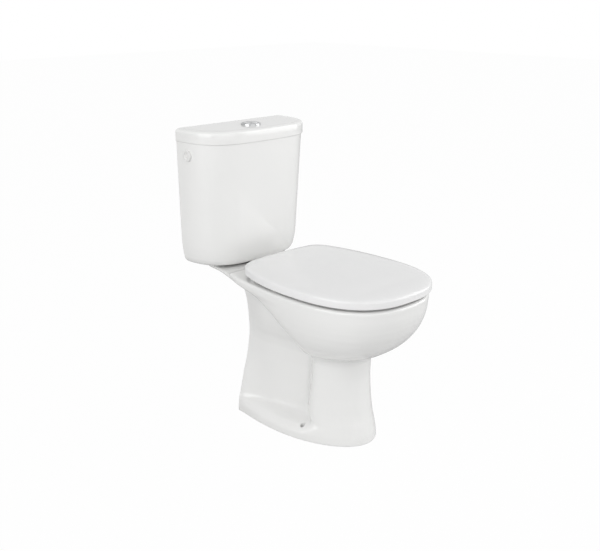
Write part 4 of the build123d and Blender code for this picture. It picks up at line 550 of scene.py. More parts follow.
rim_heights = skin_height(*circle_at(full_turn(RIM_SAMPLES), FIXING_RADIUS + HOLE_EDGE))
side_places = outside[BLOCK_ROW, :HALF_POINTS, 1]
skin_block = (int(np.argmax(row_height[:, 0] > rim_heights.min() - BLOCK_MARGIN)) - 1,
              int(np.argmax(row_height[:, 0] > rim_heights.max() + BLOCK_MARGIN)),
              int(np.argmax(side_places < FIXING_Y + BLOCK_REACH)) - 1,
              int(np.argmax(side_places < FIXING_Y - BLOCK_REACH)))
edge = block_edge(outside, skin_block)
towards = (edge - mix(edge.min(0), edge.max(0), 0.5)) / np.ptp(edge, axis=0)
bore_turn = np.arctan2(towards[:, 2], towards[:, 1])
hole_skin = hole_rings(edge, bore_turn)
bore_heights = mix(hole_skin[-1, :, 2] - HOLE_EDGE, 0, np.linspace(0, 1, BORE_ROWS)[:, None])
bore = points_at(*circle_at(bore_turn, FIXING_RADIUS), bore_heights)

# the foot's block starts a few columns nearer the rear, with as many points round it as the skin's
foot_first = skin_block[2] - FOOT_BLOCK_SHIFT
foot_block = (1, REAR_POINTS, foot_first, foot_first + len(edge) // 2 - (REAR_POINTS - 1))
foot_edge = block_edge(foot_face, foot_block)
foot_rings = mix(bore[-1:], foot_edge[None], np.linspace(0, 1, FOOT_RINGS)[:, None, None])
hole_parts = [hole_skin, np.concatenate([hole_skin[-1:], bore]), foot_rings]
hole_grids = [(part * side, True) for part in hole_parts for side in (1, MIRROR)]
print("fixing holes at", round(rim_heights.min() / MM), "to", round(rim_heights.max() / MM), "mm, edge of",
      len(edge), "points")

# %% [markdown]
# ### The top: deck and rim
# The deck behind is a grid of lines straight across, one for each pair of skin columns. Its rear
# edge meets the fine rear line of the skin, so one strip of triangles takes four fine steps to
# each coarse one. The rim in front is a ring whose columns are matched to the opening by angle.
# One many-sided face could fill all this, but such a face shades in patches.

# %% Deck lines and the strip at the rear edge
DECK_LINE_POINTS = (behind.shape[1] + 1) // 4 + 1
RING_START = -50 * MM
top_edge = outside[-1]
ring_column = int(np.argmin(np.abs(top_edge[:HALF_POINTS, 1] - RING_START)))
right, left = top_edge[1:ring_column + 1], top_edge[::-1][1:ring_column + 1]
deck = mix(right[:, None], left[:, None], np.linspace(0, 1, DECK_LINE_POINTS)[:, None])
fine_line = np.concatenate([top_edge[-1:], behind[-1], top_edge[:1]])[::-1]


def four_to_one(fine, coarse):
    """Triangles between a line and another with a quarter of its steps: two thin ones from the
    first coarse point, one that closes the pair, and two thin ones from the next coarse point."""
    f = 4 * np.arange(len(coarse) - 1)
    c = len(fine) + np.arange(len(coarse) - 1)
    fans = [(f, f + 1, c), (f + 1, f + 2, c), (f + 2, c + 1, c), (f + 2, f + 3, c + 1),
            (f + 3, f + 4, c + 1)]
    triangles = np.concatenate([np.stack(fan, -1) for fan in fans])
    return np.concatenate([fine, coarse]), triangles


rear_strip = four_to_one(fine_line, deck[0])
print("deck:", deck.shape, "strip of", len(rear_strip[1]), "triangles")

# %% [markdown]
# Down through the rim the bowl is a stack of eggs: a blunt superellipse in front and a slimmer one
# behind. Under the rim it steps out, where the flush water runs, and then narrows to the sump. It
# could be sculpted, but each egg takes its sizes from a table, as the outside does.

# %% Rim, opening and bowl
BOWL_POWER, BOWL_REAR_POWER = 2.3, 1.7
# each egg: half width, front, rear and widest place
OPENING = (140 * MM, -396 * MM, -72 * MM, -212 * MM)
BOWL_EDGE = (158 * MM, -416 * MM, -60 * MM, -212 * MM)
SUMP_EDGE = (28 * MM, -190 * MM, -152 * MM, -172 * MM)
BOWL_TOP, SUMP_FLOOR, ELBOW_START = 365 * MM, 178 * MM, 232 * MM
OPENING_ROUND, LIP_ROUND = 8 * MM, 4 * MM
RIM_SHARES = np.array((0, 0.1, 0.35, 0.65, 0.9, 1))
# rise, narrowing of the sides and front, narrowing of the rear
BOWL_LEVEL_SHARES = np.array((
    (0, 1, 1), (0.05, 0.92, 0.98), (0.15, 0.83, 0.93), (0.28, 0.69, 0.84), (0.40, 0.53, 0.72),
    (0.52, 0.38, 0.57), (0.71, 0.17, 0.31), (0.87, 0.05, 0.11), (1, 0, 0)))
BOWL_EASE_SHARE = 0.03
BOWL_CURVES = eased(BOWL_LEVEL_SHARES, BOWL_EASE_SHARE)
BOWL_ROWS, EGG_SAMPLES = 30, 4001


def egg(turn, half, front, rear, widest):
    """Across, the cosine of the turn to the power two over the egg's power; along, the same of its
    sine, times the reach to the rear or to the front."""
    power = 2 / np.where(np.sin(turn) > 0, BOWL_REAR_POWER, BOWL_POWER)
    along = blunt(np.sin(turn), power)
    reach = np.where(along > 0, rear - widest, widest - front)
    return half * blunt(np.cos(turn), power), widest + reach * along


def turns_facing(points, shape):
    """The egg's turn at which it lies in the same direction from its widest place as each point."""
    fine = np.linspace(-math.pi, math.pi, EGG_SAMPLES)
    x, y = egg(fine, *shape)
    facing = np.unwrap(np.arctan2(y - shape[3], x))
    wanted = np.arctan2(points[:, 1] - shape[3], points[:, 0])
    return np.interp(wanted, facing, fine)


def grown(shape, by):
    """An egg's sizes with its edge moved out by a distance."""
    return shape[0] + by, shape[1] - by, shape[2] + by, shape[3]


def egg_rings(turn, shape, by, heights):
    """Rings of an egg with its edge moved out by distances, one ring for each height."""
    *sizes, z = [np.reshape(value, (-1, 1)) for value in (*grown(shape, by), heights)]
    return points_at(*egg(turn, *sizes), z)


def bowl_shape(heights):
    """The bowl's egg at each height, mixed from its upper edge to the sump's; the rear narrows by
    a curve of its own."""
    narrow, rear_narrow = levels(BOWL_CURVES, (heights - SUMP_FLOOR) / (BOWL_TOP - SUMP_FLOOR))
    return [mix(edge, sump, share) for edge, sump, share in
            zip(BOWL_EDGE, SUMP_EDGE, (narrow, narrow, rear_narrow, narrow))]


rim_edge = np.concatenate([top_edge[ring_column:len(top_edge) - ring_column], deck[-1, -2:0:-1]])
ring_turn = turns_facing(rim_edge, grown(OPENING, OPENING_ROUND))
opening_edge = egg_rings(ring_turn, OPENING, OPENING_ROUND, RIM_HEIGHT)
rim_top = mix(rim_edge[None], opening_edge, RIM_SHARES[:, None, None])
edge_out, edge_down = rounding(OPENING_ROUND, ROUND_POINTS)
lip_up, lip_out = rounding(LIP_ROUND, ROUND_POINTS)
bowl_heights = np.linspace(BOWL_TOP - LIP_ROUND, ELBOW_START, BOWL_ROWS)
bowl = np.concatenate([egg_rings(ring_turn, OPENING, edge_out[1:], RIM_HEIGHT - edge_down[1:]),
                       egg_rings(ring_turn, OPENING, lip_out, BOWL_TOP + lip_up),
                       egg_rings(ring_turn, BOWL_EDGE, -LIP_ROUND, BOWL_TOP),
                       egg_rings(ring_turn, bowl_shape(bowl_heights), 0, bowl_heights)])
print("rim ring of", len(ring_turn), "columns, bowl of", len(bowl), "rows")

# %% [markdown]
# ### The trapway
# From the sump a round way rises over a crest and falls to the spigot behind: the bend that keeps
# the water seal. Its centre line is straight runs joined by arcs, and rings stand square to it.
# A curve with a round bevel could draw it, but rings with the bowl's own columns join the bowl
# without a seam: each bowl point is led to its place on the first ring along a bent line.

# %% Centre line, rings and spigot
TRAP_RADIUS, TRAP_OUTSIDE, TRAP_BEND = 26 * MM, 34 * MM, 40 * MM
# corners of the centre line, along and up
TRAP_ROUTE = np.array(((-175, 197), (-122, 197), (-42, 315), (0, 250), (0, 87))) * MM
SPIGOT_RADIUS, SPIGOT_BORE, SPIGOT_TOP, SPIGOT_END = 51 * MM, 42 * MM, 95 * MM, 12 * MM
SPIGOT_ROUND, SPIGOT_FILLET = 1.5 * MM, 3 * MM
ARC_POINTS, ELBOW_ROWS = 14, 13


def bent_route(route, radius, arc_points):
    """Points and directions along a route in the middle plane: each corner becomes an arc that
    leaves its run a radius times the tangent of half the turn before the corner."""
    runs = np.diff(route, axis=0)
    ways = runs / np.linalg.norm(runs, axis=1, keepdims=True)
    places, directions = [], []
    for corner, way, next_way in zip(route[1:-1], ways[:-1], ways[1:]):
        turn = math.acos(float(way @ next_way))
        inward = next_way - (way @ next_way) * way
        inward /= np.linalg.norm(inward)
        start = corner - way * radius * math.tan(turn / 2)
        t = np.linspace(0, turn, arc_points)[:, None]
        places.append(start + radius * (np.sin(t) * way + (1 - np.cos(t)) * inward))
        directions.append(np.cos(t) * way + np.sin(t) * inward)
    return np.concatenate([*places, route[-1:]]), np.concatenate([*directions, ways[-1:]])


def tube_rings(turn, places, directions, radius):
    """A ring round each place: across by the cosine, and by the sine along the line square to the
    direction in the middle plane."""
    across, up = radius * np.cos(turn), radius * np.sin(turn)
    along, rise = directions[:, :1], directions[:, 1:]
    return points_at(across, places[:, :1] - up * rise, places[:, 1:] + up * along)


def turned(profile, turn, centre=(0, 0)):
    """A profile of (radius, height) swept round an upright axis through the centre."""
    radius, height = np.array(profile).T[:, :, None]
    return points_at(centre[0] + radius * np.cos(turn), centre[1] + radius * np.sin(turn), height)


places, directions = bent_route(TRAP_ROUTE, TRAP_BEND, ARC_POINTS)
trap_bore = tube_rings(ring_turn, places, directions, TRAP_RADIUS)
bowl_end, bore_start = bowl[-1], trap_bore[0]
guide = points_at(mix(bowl_end[:, 0], bore_start[:, 0], 0.5), bowl_end[:, 1], bore_start[:, 2])
elbow = bent(bowl_end, guide, bore_start, np.linspace(0, 1, ELBOW_ROWS + 2)[1:-1, None, None])
spigot = turned([(SPIGOT_BORE, TRAP_ROUTE[-1, 1]), (SPIGOT_BORE, SPIGOT_END + SPIGOT_ROUND),
                 (SPIGOT_BORE + SPIGOT_ROUND, SPIGOT_END), (SPIGOT_RADIUS - SPIGOT_ROUND, SPIGOT_END),
                 (SPIGOT_RADIUS, SPIGOT_END + SPIGOT_ROUND), (SPIGOT_RADIUS, SPIGOT_TOP - SPIGOT_ROUND),
                 (SPIGOT_RADIUS - SPIGOT_ROUND, SPIGOT_TOP), (TRAP_OUTSIDE + SPIGOT_FILLET, SPIGOT_TOP),
                 (TRAP_OUTSIDE, SPIGOT_TOP + SPIGOT_FILLET)], ring_turn)
trap_outer = tube_rings(ring_turn, places[:-1], directions[:-1], TRAP_OUTSIDE)[::-1]
way_down = np.concatenate([opening_edge, bowl, elbow, trap_bore, spigot, trap_outer, shut(trap_outer[-1])])
print("trapway:", len(way_down), "rings of", len(ring_turn), "points")

# %% [markdown]
# Two more closed shells lie in the same clay: the cup under the sump, seen from below, and the
# block under the deck that the cistern is bolted on. A boolean could join them to the skin, but
# they sink into it where nobody looks, so they stay shells of their own in the same mesh.

# %% Sump cup, coupling block, and the whole pan
BOWL_WALL = 12 * MM
CUP_TOP, CUP_ROWS, CUP_POINTS = HOLLOW_TOP + 13 * MM, 10, 72
KEEL_HALF_WIDTH, KEEL_REAR, KEEL_BOTTOM, KEEL_ROUND = 46 * MM, 195 * MM, 366 * MM, 3 * MM
KEEL_TOP = RIM_HEIGHT - DECK_DROP - 2 * MM
KEEL_POINTS, KEEL_EDGE_POINTS, KEEL_POWER = 96, 5, 0.1

cup_heights = np.linspace(CUP_TOP, SUMP_FLOOR, CUP_ROWS)
cup_up, cup_in = [part[1:] for part in rounding(BOWL_WALL, ROUND_POINTS)]
cup_turn = full_turn(CUP_POINTS) - math.pi
cup_side = egg_rings(cup_turn, bowl_shape(cup_heights), BOWL_WALL, cup_heights)
cup_round = egg_rings(cup_turn, bowl_shape(cup_heights[-1:]), BOWL_WALL - cup_in,
                      SUMP_FLOOR - BOWL_WALL + cup_up)
cup = closed(np.concatenate([cup_side, cup_round]))


def soft_block(half_x, y0, y1, z0, z1, radius):
    """A box with rounded edges: level rings of a superellipse so blunt that it is nearly square,
    drawn in by the radius at the bottom and the top."""
    turn = full_turn(KEEL_POINTS)
    inset, z = rounded_side(z0, z1, radius, radius, KEEL_EDGE_POINTS, KEEL_EDGE_POINTS)
    across, along = blunt(np.cos(turn), KEEL_POWER), blunt(np.sin(turn), KEEL_POWER)
    middle, half_y = (y0 + y1) / 2, (y1 - y0) / 2
    x, y = (half_x - inset[:, None]) * across, middle + (half_y - inset[:, None]) * along
    return closed(points_at(x, y, z[:, None]))


keel = soft_block(KEEL_HALF_WIDTH, 0, KEEL_REAR, KEEL_BOTTOM, KEEL_TOP, KEEL_ROUND)
pan = put_mesh("pan_body", [(skin, True, block_pair(skin_block)),
                            (foot_face, False, block_pair(foot_block)), *hole_grids, (deck, False),
                            (rim_top, True), (way_down, True), (cup, True), (keel, True)], [rear_strip])
dress(pan, "toilet", "ceramic", "pan_foot", "pan_outlet", "pan_waist", "pan_bowl", "pan_rim")

# %% [markdown]
# ## The cistern
# The tank is a D seen from above: flat at the back, with big soft corners and a slightly bowed
# front. It tapers down to a base that curls in. A bevelled box could stand for it, but its corners
# wouldn't curl in below. So wall, floor and rim are one closed surface, from a pole under the base,
# over the rim, and down inside to a pole on the floor.

# %% The D outline
# steps along the back, the rear corner, the side, the front corner and the front
D_STEPS = (8, 6, 10, 20, 16)
REAR_CORNER = 6 * MM
TANK_BACK, TANK_BOW = 225 * MM, 18 * MM


def round_about(x, y):
    """Stretches of closed outlines laid end to end, each after the first without the point that it
    shares with the one before, and then their mirror, from the middle of the back round."""
    rows = max(part.shape[0] for part in x + y)
    x, y = [np.concatenate([np.broadcast_to(part, (rows, part.shape[1]))[:, (k > 0):]
                            for k, part in enumerate(parts)], 1) for parts in (x, y)]
    x[:, -1] = 0
    return np.concatenate([x, -x[:, -2:0:-1]], 1), np.concatenate([y, y[:, -2:0:-1]], 1)


def d_outline(half, front, back, corner):
    """Back line, small rear corner, straight side, a bent corner that meets the front's arc on its
    tangent, and the arc, whose radius is (flat^2 + sagitta^2) / (2 sagitta)."""
    half, front, back, corner = [np.reshape(value, (-1, 1)) for value in (half, front, back, corner)]
    flat = half - corner
    nose = front - TANK_BOW
    shoulder = front - TANK_BOW * (1 - (flat / half) ** 2)
    sagitta = shoulder - nose
    radius = (flat ** 2 + sagitta ** 2) / (2 * sagitta)
    bend = shoulder + flat / (radius - sagitta) * corner
    along_back, rear, side, turning, along_front = [np.linspace(0, 1, n + 1)[None, :] for n in D_STEPS]
    arc_x = flat * (1 - along_front)
    x = [(half - REAR_CORNER) * along_back, bent(half - REAR_CORNER, half, half, rear), half + 0 * side,
         bent(half, half, flat, turning), arc_x]
    y = [back + 0 * along_back, bent(back, back, back - REAR_CORNER, rear),
         mix(back - REAR_CORNER, front + corner, side), bent(front + corner, bend, shoulder, turning),
         nose + radius - np.sqrt(radius ** 2 - arc_x ** 2)]
    return round_about(x, y)


def rows_at(outline, heights):
    """Outline rows lifted to their heights: one height for each row, or one for each point."""
    heights = np.asarray(heights)
    return points_at(*outline, heights if heights.ndim == 2 else heights.reshape(-1, 1))


def drawn_to(loop, centre, shares):
    """Rows between a ring and a point, by shares of the way: a closed flat end."""
    return mix(loop[None], np.array(centre), np.array(shares)[:, None, None])


# %% Tank walls by a table of levels
TANK_BOTTOM, TANK_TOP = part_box("cistern")[0].z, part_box("cistern")[1].z
TANK_BASE_HALF, TANK_TOP_HALF = 156 * MM, 182.6 * MM
TANK_BASE_FRONT, TANK_TOP_FRONT = 122 * MM, 86 * MM
TANK_CORNER, TANK_WALL, TANK_FLOOR, TANK_MIDDLE = 98 * MM, 9 * MM, 10 * MM, 152 * MM
# rise, spread of the sides, lean of the front
TANK_LEVEL_SHARES = np.array((
    (0, 0, 0), (0.007, 0.18, 0.12), (0.02, 0.36, 0.24), (0.04, 0.49, 0.33), (0.07, 0.60, 0.40),
    (0.11, 0.69, 0.45), (0.16, 0.765, 0.50), (0.35, 0.845, 0.60), (0.56, 0.905, 0.72), (1, 1, 1)))
TANK_MEAN_SHARES = np.array((1, 2, 3, 2, 1)) / 9
TANK_CAP_SHARES = (1, 0.75, 0.5, 0.25, 0.05)
# stretches of the rise: start, end and rows
TANK_STRETCHES = ((0, 0.05, 14), (0.05, 0.2, 14), (0.2, 1, 24))
tank_rise = np.concatenate([np.linspace(*stretch)[(k > 0):] for k, stretch in enumerate(TANK_STRETCHES)])


def tank_wall(rise, base, inset):
    """Rows of the wall from its base to the top, all sides set in. Its spread and its lean are read
    from the table, and each value is replaced by a weighted mean of its neighbours."""
    shares = levels((TANK_LEVEL_SHARES[:, 0], TANK_LEVEL_SHARES[:, 1:].T), rise)
    reach = len(TANK_MEAN_SHARES) // 2
    padded = [np.pad(share, reach, "reflect", reflect_type="odd") for share in shares]
    spread, lean = [np.convolve(share, TANK_MEAN_SHARES, "valid") for share in padded]
    half = mix(TANK_BASE_HALF, TANK_TOP_HALF, spread) - inset
    front = mix(TANK_BASE_FRONT, TANK_TOP_FRONT, lean) + inset
    outline = d_outline(half, front, TANK_BACK - inset, TANK_CORNER - 2 * inset)
    return rows_at(outline, mix(base, TANK_TOP, rise))


tank_outer = tank_wall(tank_rise, TANK_BOTTOM, 0)
tank_inner = tank_wall(tank_rise[::-1], TANK_BOTTOM + TANK_FLOOR, TANK_WALL)
base_cap = drawn_to(tank_outer[0], (0, TANK_MIDDLE, TANK_BOTTOM), TANK_CAP_SHARES)
floor_cap = drawn_to(tank_inner[-1], (0, TANK_MIDDLE, TANK_BOTTOM + TANK_FLOOR), TANK_CAP_SHARES[::-1])
rim_row = mix(tank_outer[-1:], tank_inner[:1], 0.5)
tank_grid = np.concatenate([base_cap, tank_outer, rim_row, tank_inner, floor_cap])
tank = put_mesh("tank_body", [(tank_grid, True)])
dress(tank, "toilet", "ceramic", "cistern")

# %% [markdown]
# The lid sits on the rim with a fine dark joint, so its lower edge is rounded a little. Inside the
# tank a lip hangs from it and keeps it in place. Its top edge has a bigger round, and the flat top
# draws in to the hole for the flush button. A boolean would cut the hole as well, but the faces
# round it stay even when each outline point slides to the point of the circle that lies in the
# same direction.

# %% Cistern lid
LID_LIP_BOTTOM, LID_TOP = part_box("cistern_lid")[0].z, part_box("cistern_lid")[1].z
LID_HALF, LID_FRONT, LID_CORNER = 184.6 * MM, 82 * MM, 98 * MM
LID_TOP_ROUND, LID_LOW_ROUND, LID_INNER_ROUND = 10 * MM, 3 * MM, 4 * MM
LID_CEILING = LID_TOP - 9 * MM
LID_LIP_OUTSIDE, LID_LIP_INSIDE = 11.5 * MM, 18.5 * MM
LID_LOW_REAR_SHARE = 0.1
LID_SHARES = np.array((0.15, 0.4, 0.7, 0.92, 1))[:, None, None]
LID_LOW_POINTS, LID_TOP_POINTS = 5, 8
BUTTON_CENTRE, LID_HOLE_RADIUS = (0.0, 134 * MM), 24.5 * MM


def lid_rows(insets, heights, rear_share=1.0):
    """Rows of the lid's outline, each set in and at its height; the rear takes a share of that."""
    inset = np.array(insets)
    rear = TANK_BACK - inset * rear_share
    return rows_at(d_outline(LID_HALF - inset, LID_FRONT + inset, rear, LID_CORNER - inset), heights)


def facing_circle(loop, centre, radius, height):
    """For each point of a ring, the point of a level circle that lies in the same direction."""
    turn = np.arctan2(loop[:, 1] - centre[1], loop[:, 0] - centre[0])
    return points_at(centre[0] + radius * np.cos(turn), centre[1] + radius * np.sin(turn), height)


low_in, low_up = rounding(LID_LOW_ROUND, LID_LOW_POINTS)
high_down, high_in = rounding(LID_TOP_ROUND, LID_TOP_POINTS)
lid_outer = np.concatenate([lid_rows(low_in, TANK_TOP + low_up, LID_LOW_REAR_SHARE),
                            lid_rows(high_in, LID_TOP - high_down)])
hole_top, hole_under = [facing_circle(lid_outer[-1], BUTTON_CENTRE, LID_HOLE_RADIUS, height)[None]
                        for height in (LID_TOP, LID_CEILING)]
lid_inner = lid_rows([LID_LIP_INSIDE + LID_INNER_ROUND, *[LID_LIP_INSIDE] * 2, *[LID_LIP_OUTSIDE] * 2],
                     [LID_CEILING, LID_CEILING - LID_INNER_ROUND, LID_LIP_BOTTOM, LID_LIP_BOTTOM, TANK_TOP])
lid_top = mix(lid_outer[-1:], hole_top, LID_SHARES)
lid_ceiling = mix(hole_under, lid_inner[:1], LID_SHARES - LID_SHARES[0])
lid_grid = np.concatenate([lid_outer, lid_top, lid_ceiling, lid_inner, lid_outer[:1]])
lid = put_mesh("tank_lid", [(lid_grid, True)])
dress(lid, "toilet", "ceramic", "cistern_lid")

# %% [markdown]
# ## Flush button and plug
# The chromed surround and the plug in the spare inlet are turned parts, so each is a profile swept
# round an axis. A Screw modifier could turn them, but as grids they are welded and counted like
# every other piece. The two half-moon buttons are dished, as fingers expect. The plug's face is
# dished too, round a blind socket, and its profile is swept upright and then laid on its side.

# %% Chromed surround
TURNED_POINTS = 72
BEZEL_RADIUS, BEZEL_SLEEVE, BEZEL_BORE, BEZEL_ROUND = 27 * MM, 24 * MM, 21.6 * MM, 3 * MM
BEZEL_TOP, BEZEL_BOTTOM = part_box("button_bezel")[1].z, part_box("button_bezel")[0].z
# points of the inner edge: out from the bore and down from the top
BEZEL_INNER_EDGE = np.array(((1.2, 0), (0.4, 0.5), (0, 1.4))) * MM

outer_edge = [(BEZEL_RADIUS - inset, BEZEL_TOP - down)
              for down, inset in zip(*rounding(BEZEL_ROUND, ROUND_POINTS))]
inner_edge = [(BEZEL_BORE + out, BEZEL_TOP - down) for out, down in BEZEL_INNER_EDGE]
bezel_profile = [(BEZEL_BORE, BEZEL_BOTTOM), (BEZEL_SLEEVE, BEZEL_BOTTOM), (BEZEL_SLEEVE, LID_TOP),
                 (BEZEL_RADIUS, LID_TOP), *outer_edge, *inner_edge, (BEZEL_BORE, BEZEL_BOTTOM)]
bezel_grid = turned(bezel_profile, full_turn(TURNED_POINTS), BUTTON_CENTRE)
bezel = put_mesh("button_surround", [(bezel_grid, True)])
dress(bezel, "toilet", "chrome", "button_bezel")

# %% Half-moon buttons
BUTTON_RADIUS, BUTTON_GAP, BUTTON_DISH, BUTTON_EDGE = 21 * MM, 0.8 * MM, 1.4 * MM, 1.2 * MM
BUTTON_ARC_POINTS, BUTTON_LINE_POINTS = 40, 18
BUTTON_MIDDLE_SHARE = 0.45
BUTTON_SHARES = np.array((0.15, 0.35, 0.55, 0.75, 0.9, 1.0))[:, None]


def half_moon(side, node):
    """Rings of a half disc: its arc and its straight edge, drawn in along a quarter round and then
    to the middle, over a dish that is deepest at the centre: depth times (1 - (r / radius)^2)."""
    bottom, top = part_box(node)[0].z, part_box(node)[1].z
    turn = np.linspace(-math.pi / 2, math.pi / 2, BUTTON_ARC_POINTS)
    line = np.linspace(1, -1, BUTTON_LINE_POINTS + 2)[1:-1]
    edge_down, edge_in = [part[1:] for part in rounding(BUTTON_EDGE, ROUND_POINTS)]
    inset = np.concatenate([(0, 0), edge_in])[:, None]
    radius, straight = BUTTON_RADIUS - inset, BUTTON_GAP / 2 + inset
    reach = np.sqrt(radius ** 2 - straight ** 2)
    x = np.concatenate([np.maximum(radius * np.cos(turn), straight), straight + 0 * line], 1)
    y = np.concatenate([np.clip(radius * np.sin(turn), -reach, reach), reach * line], 1)
    middle_x = BUTTON_RADIUS * BUTTON_MIDDLE_SHARE
    x = np.concatenate([x, mix(x[-1:], middle_x, BUTTON_SHARES)])
    y = np.concatenate([y, y[-1:] * (1 - BUTTON_SHARES)])
    z = top - BUTTON_DISH * (1 - (x * x + y * y) / BUTTON_RADIUS ** 2)
    z[2:len(inset)] -= edge_down[:, None]
    z[:2] = np.array((bottom, top - BUTTON_EDGE))[:, None]
    rings = points_at(x, y, z)
    pole = rings[:1] * 0 + np.array((middle_x, 0, bottom))
    return np.concatenate([pole, rings]) * np.array((side, 1, 1)) + np.array((*BUTTON_CENTRE, 0))


for node, body, name in (("full_flush_button", "full_button", "full_flush_half"),
                         ("half_flush_button", "half_button", "half_flush_half")):
    side = 1 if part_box(node)[0].x > BUTTON_CENTRE[0] - BUTTON_GAP else -1
    button = put_mesh(name, [(half_moon(side, node), True)])
    dress(button, body, "chrome", node)

# %% Plug of the spare inlet
PLUG_Y, PLUG_Z = 176 * MM, 712 * MM
PLUG_HEAD, PLUG_SHANK, PLUG_ROUND, PLUG_RING = 15 * MM, 8 * MM, 1.5 * MM, 1 * MM
PLUG_DISH, PLUG_DISH_DEPTH, PLUG_SOCKET, PLUG_SOCKET_DEPTH = 10.5 * MM, 3 * MM, 6.5 * MM, 14 * MM
PLUG_FACE, PLUG_SEAT, PLUG_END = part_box("inlet_plug")[0].x, -181 * MM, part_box("inlet_plug")[1].x
DISH_POINTS = 9

dish = [(mix(PLUG_SOCKET, PLUG_DISH, math.sin(a)), PLUG_FACE + PLUG_DISH_DEPTH * math.cos(a))
        for a in np.linspace(math.pi / 2, 0, DISH_POINTS)]
head = [(PLUG_HEAD - inset, PLUG_FACE + off)
        for inset, off in zip(*rounding(PLUG_ROUND, ROUND_POINTS))][::-1]
plug_profile = [(0, PLUG_END), (PLUG_SHANK, PLUG_END), (PLUG_SHANK, PLUG_SEAT), (PLUG_HEAD, PLUG_SEAT),
                *head, (PLUG_DISH + PLUG_RING, PLUG_FACE), *dish,
                (PLUG_SOCKET, PLUG_FACE + PLUG_SOCKET_DEPTH), (0, PLUG_FACE + PLUG_SOCKET_DEPTH)]
upright = turned(plug_profile, full_turn(TURNED_POINTS))
plug_grid = points_at(upright[..., 2], PLUG_Y + upright[..., 0], PLUG_Z + upright[..., 1])
plug = put_mesh("side_plug", [(plug_grid, True)])
dress(plug, "toilet", node_slots["inlet_plug"], "inlet_plug")

# %% [markdown]
# ## Seat and cover
# Both are moulded in gloss plastic and share one outline: a blunt nose, sides that run back to
# narrow rear corners, and a straight rear edge. A subdivided cage could model them, but with one
# formula their outlines fit each other all round. The cover is a shell: a dome over the top, a
# skirt down the sides and the same again inside, cut up at the rear where the hinges stand.

# %% Outline of seat and cover
SEAT_HALF, SEAT_FRONT, SEAT_WIDEST, SEAT_REAR_HALF = 183.2 * MM, -438.6 * MM, -198.4 * MM, 135 * MM
SEAT_REAR, SEAT_CORNER, SEAT_POWER, SEAT_TAPER_POWER = 22 * MM, 34 * MM, 2.57, 2.2
# steps along the rear, its corner, the side and the nose
SEAT_STEPS = (24, 14, 24, 40)


def seat_outline(inset, rear, corner):
    """Rear line, bent rear corner, a side that tapers by a power of the way back from the widest
    place, and a superellipse nose."""
    inset, rear, corner = [np.reshape(value, (-1, 1)) for value in (inset, rear, corner)]
    half, front = SEAT_HALF - inset, SEAT_FRONT + inset

    def side(y):
        back = np.clip((y - SEAT_WIDEST) / (SEAT_REAR - SEAT_WIDEST), 0, None)
        return half - (SEAT_HALF - SEAT_REAR_HALF) * back ** SEAT_TAPER_POWER

    back, turning, along, nose = [np.linspace(0, 1, n + 1)[None, :] for n in SEAT_STEPS]
    rear_x, side_y = side(rear), mix(rear - corner, SEAT_WIDEST, along)
    turn = nose * math.pi / 2
    x = [(rear_x - corner) * back, bent(rear_x - corner, rear_x, side(rear - corner), turning),
         side(side_y), half * np.cos(turn) ** (2 / SEAT_POWER)]
    y = [rear + 0 * back, bent(rear, rear, rear - corner, turning), side_y,
         SEAT_WIDEST - (SEAT_WIDEST - front) * np.sin(turn) ** (2 / SEAT_POWER)]
    return round_about(x, y)


# %% Cover shell
COVER_LOW, COVER_EDGE, COVER_REAR, COVER_MIDDLE = 421 * MM, 434 * MM, 22 * MM, (0, -200 * MM)
COVER_CROWN, COVER_DRAW, DRAW_POWER, CORNER_DRAW_SHARE = 15 * MM, 105 * MM, 1.5, 0.125
COVER_ARCH, ARCH_END, ARCH_FALL = 13 * MM, -130 * MM, 240 * MM
COVER_THICKNESS, SKIRT_THICKNESS, INNER_CORNER, INNER_RISE = 5 * MM, 4 * MM, 32 * MM, 2 * MM
NOTCH_HALF, NOTCH_TOP, NOTCH_EASE = 112 * MM, 437.5 * MM, 1.5 * MM
NOTCH_START, NOTCH_END = -14 * MM, -11 * MM
TOP_CAP_SHARES, UNDER_CAP_SHARES = (1, 0.8, 0.6, 0.4, 0.2, 0.07), (0.1, 0.3, 0.6, 1)
# the skirt's lower edge: how far each of its rows is set in, and how far it stands up
EDGE_INSETS, EDGE_RISES = np.array((0.4, 1.2, 3, 4)) * MM, np.array((0.4, 0, 0, 1)) * MM
DOME_ROWS, SKIRT_ROWS, INNER_ROWS = 20, 8, 6


def dome(turns, lower, wall):
    """Rows up a dome: drawn in by (1 - cos t)^1.5, and lifted by sin t times the crown and an arch.
    The arch falls off with the square of the place across and, ahead of its end, along: the
    opened cover leans on air, just clear of the cistern's lid."""
    drawn = COVER_DRAW * (1 - np.cos(turns)) ** DRAW_POWER
    corner = SEAT_CORNER + drawn * CORNER_DRAW_SHARE - wall / 2
    outline = seat_outline(drawn + wall, COVER_REAR - drawn - wall, corner)
    ahead = np.clip((ARCH_END - outline[1]) / ARCH_FALL, 0, 1)
    arch = COVER_ARCH * (1 - (outline[0] / SEAT_HALF) ** 2) * (1 - ahead ** 2)
    return rows_at(outline, COVER_EDGE + (COVER_CROWN + arch) * np.sin(turns)[:, None] - lower)


def notched(points):
    """Over the hinges, behind the notch's start, nothing hangs lower than the notch's top."""
    x, y, z = np.moveaxis(points, -1, 0)
    share = ease(NOTCH_HALF - np.abs(x), -NOTCH_EASE, NOTCH_EASE) * ease(y, NOTCH_START, NOTCH_END)
    return points_at(x, y, np.maximum(z, mix(COVER_LOW, NOTCH_TOP, share)))


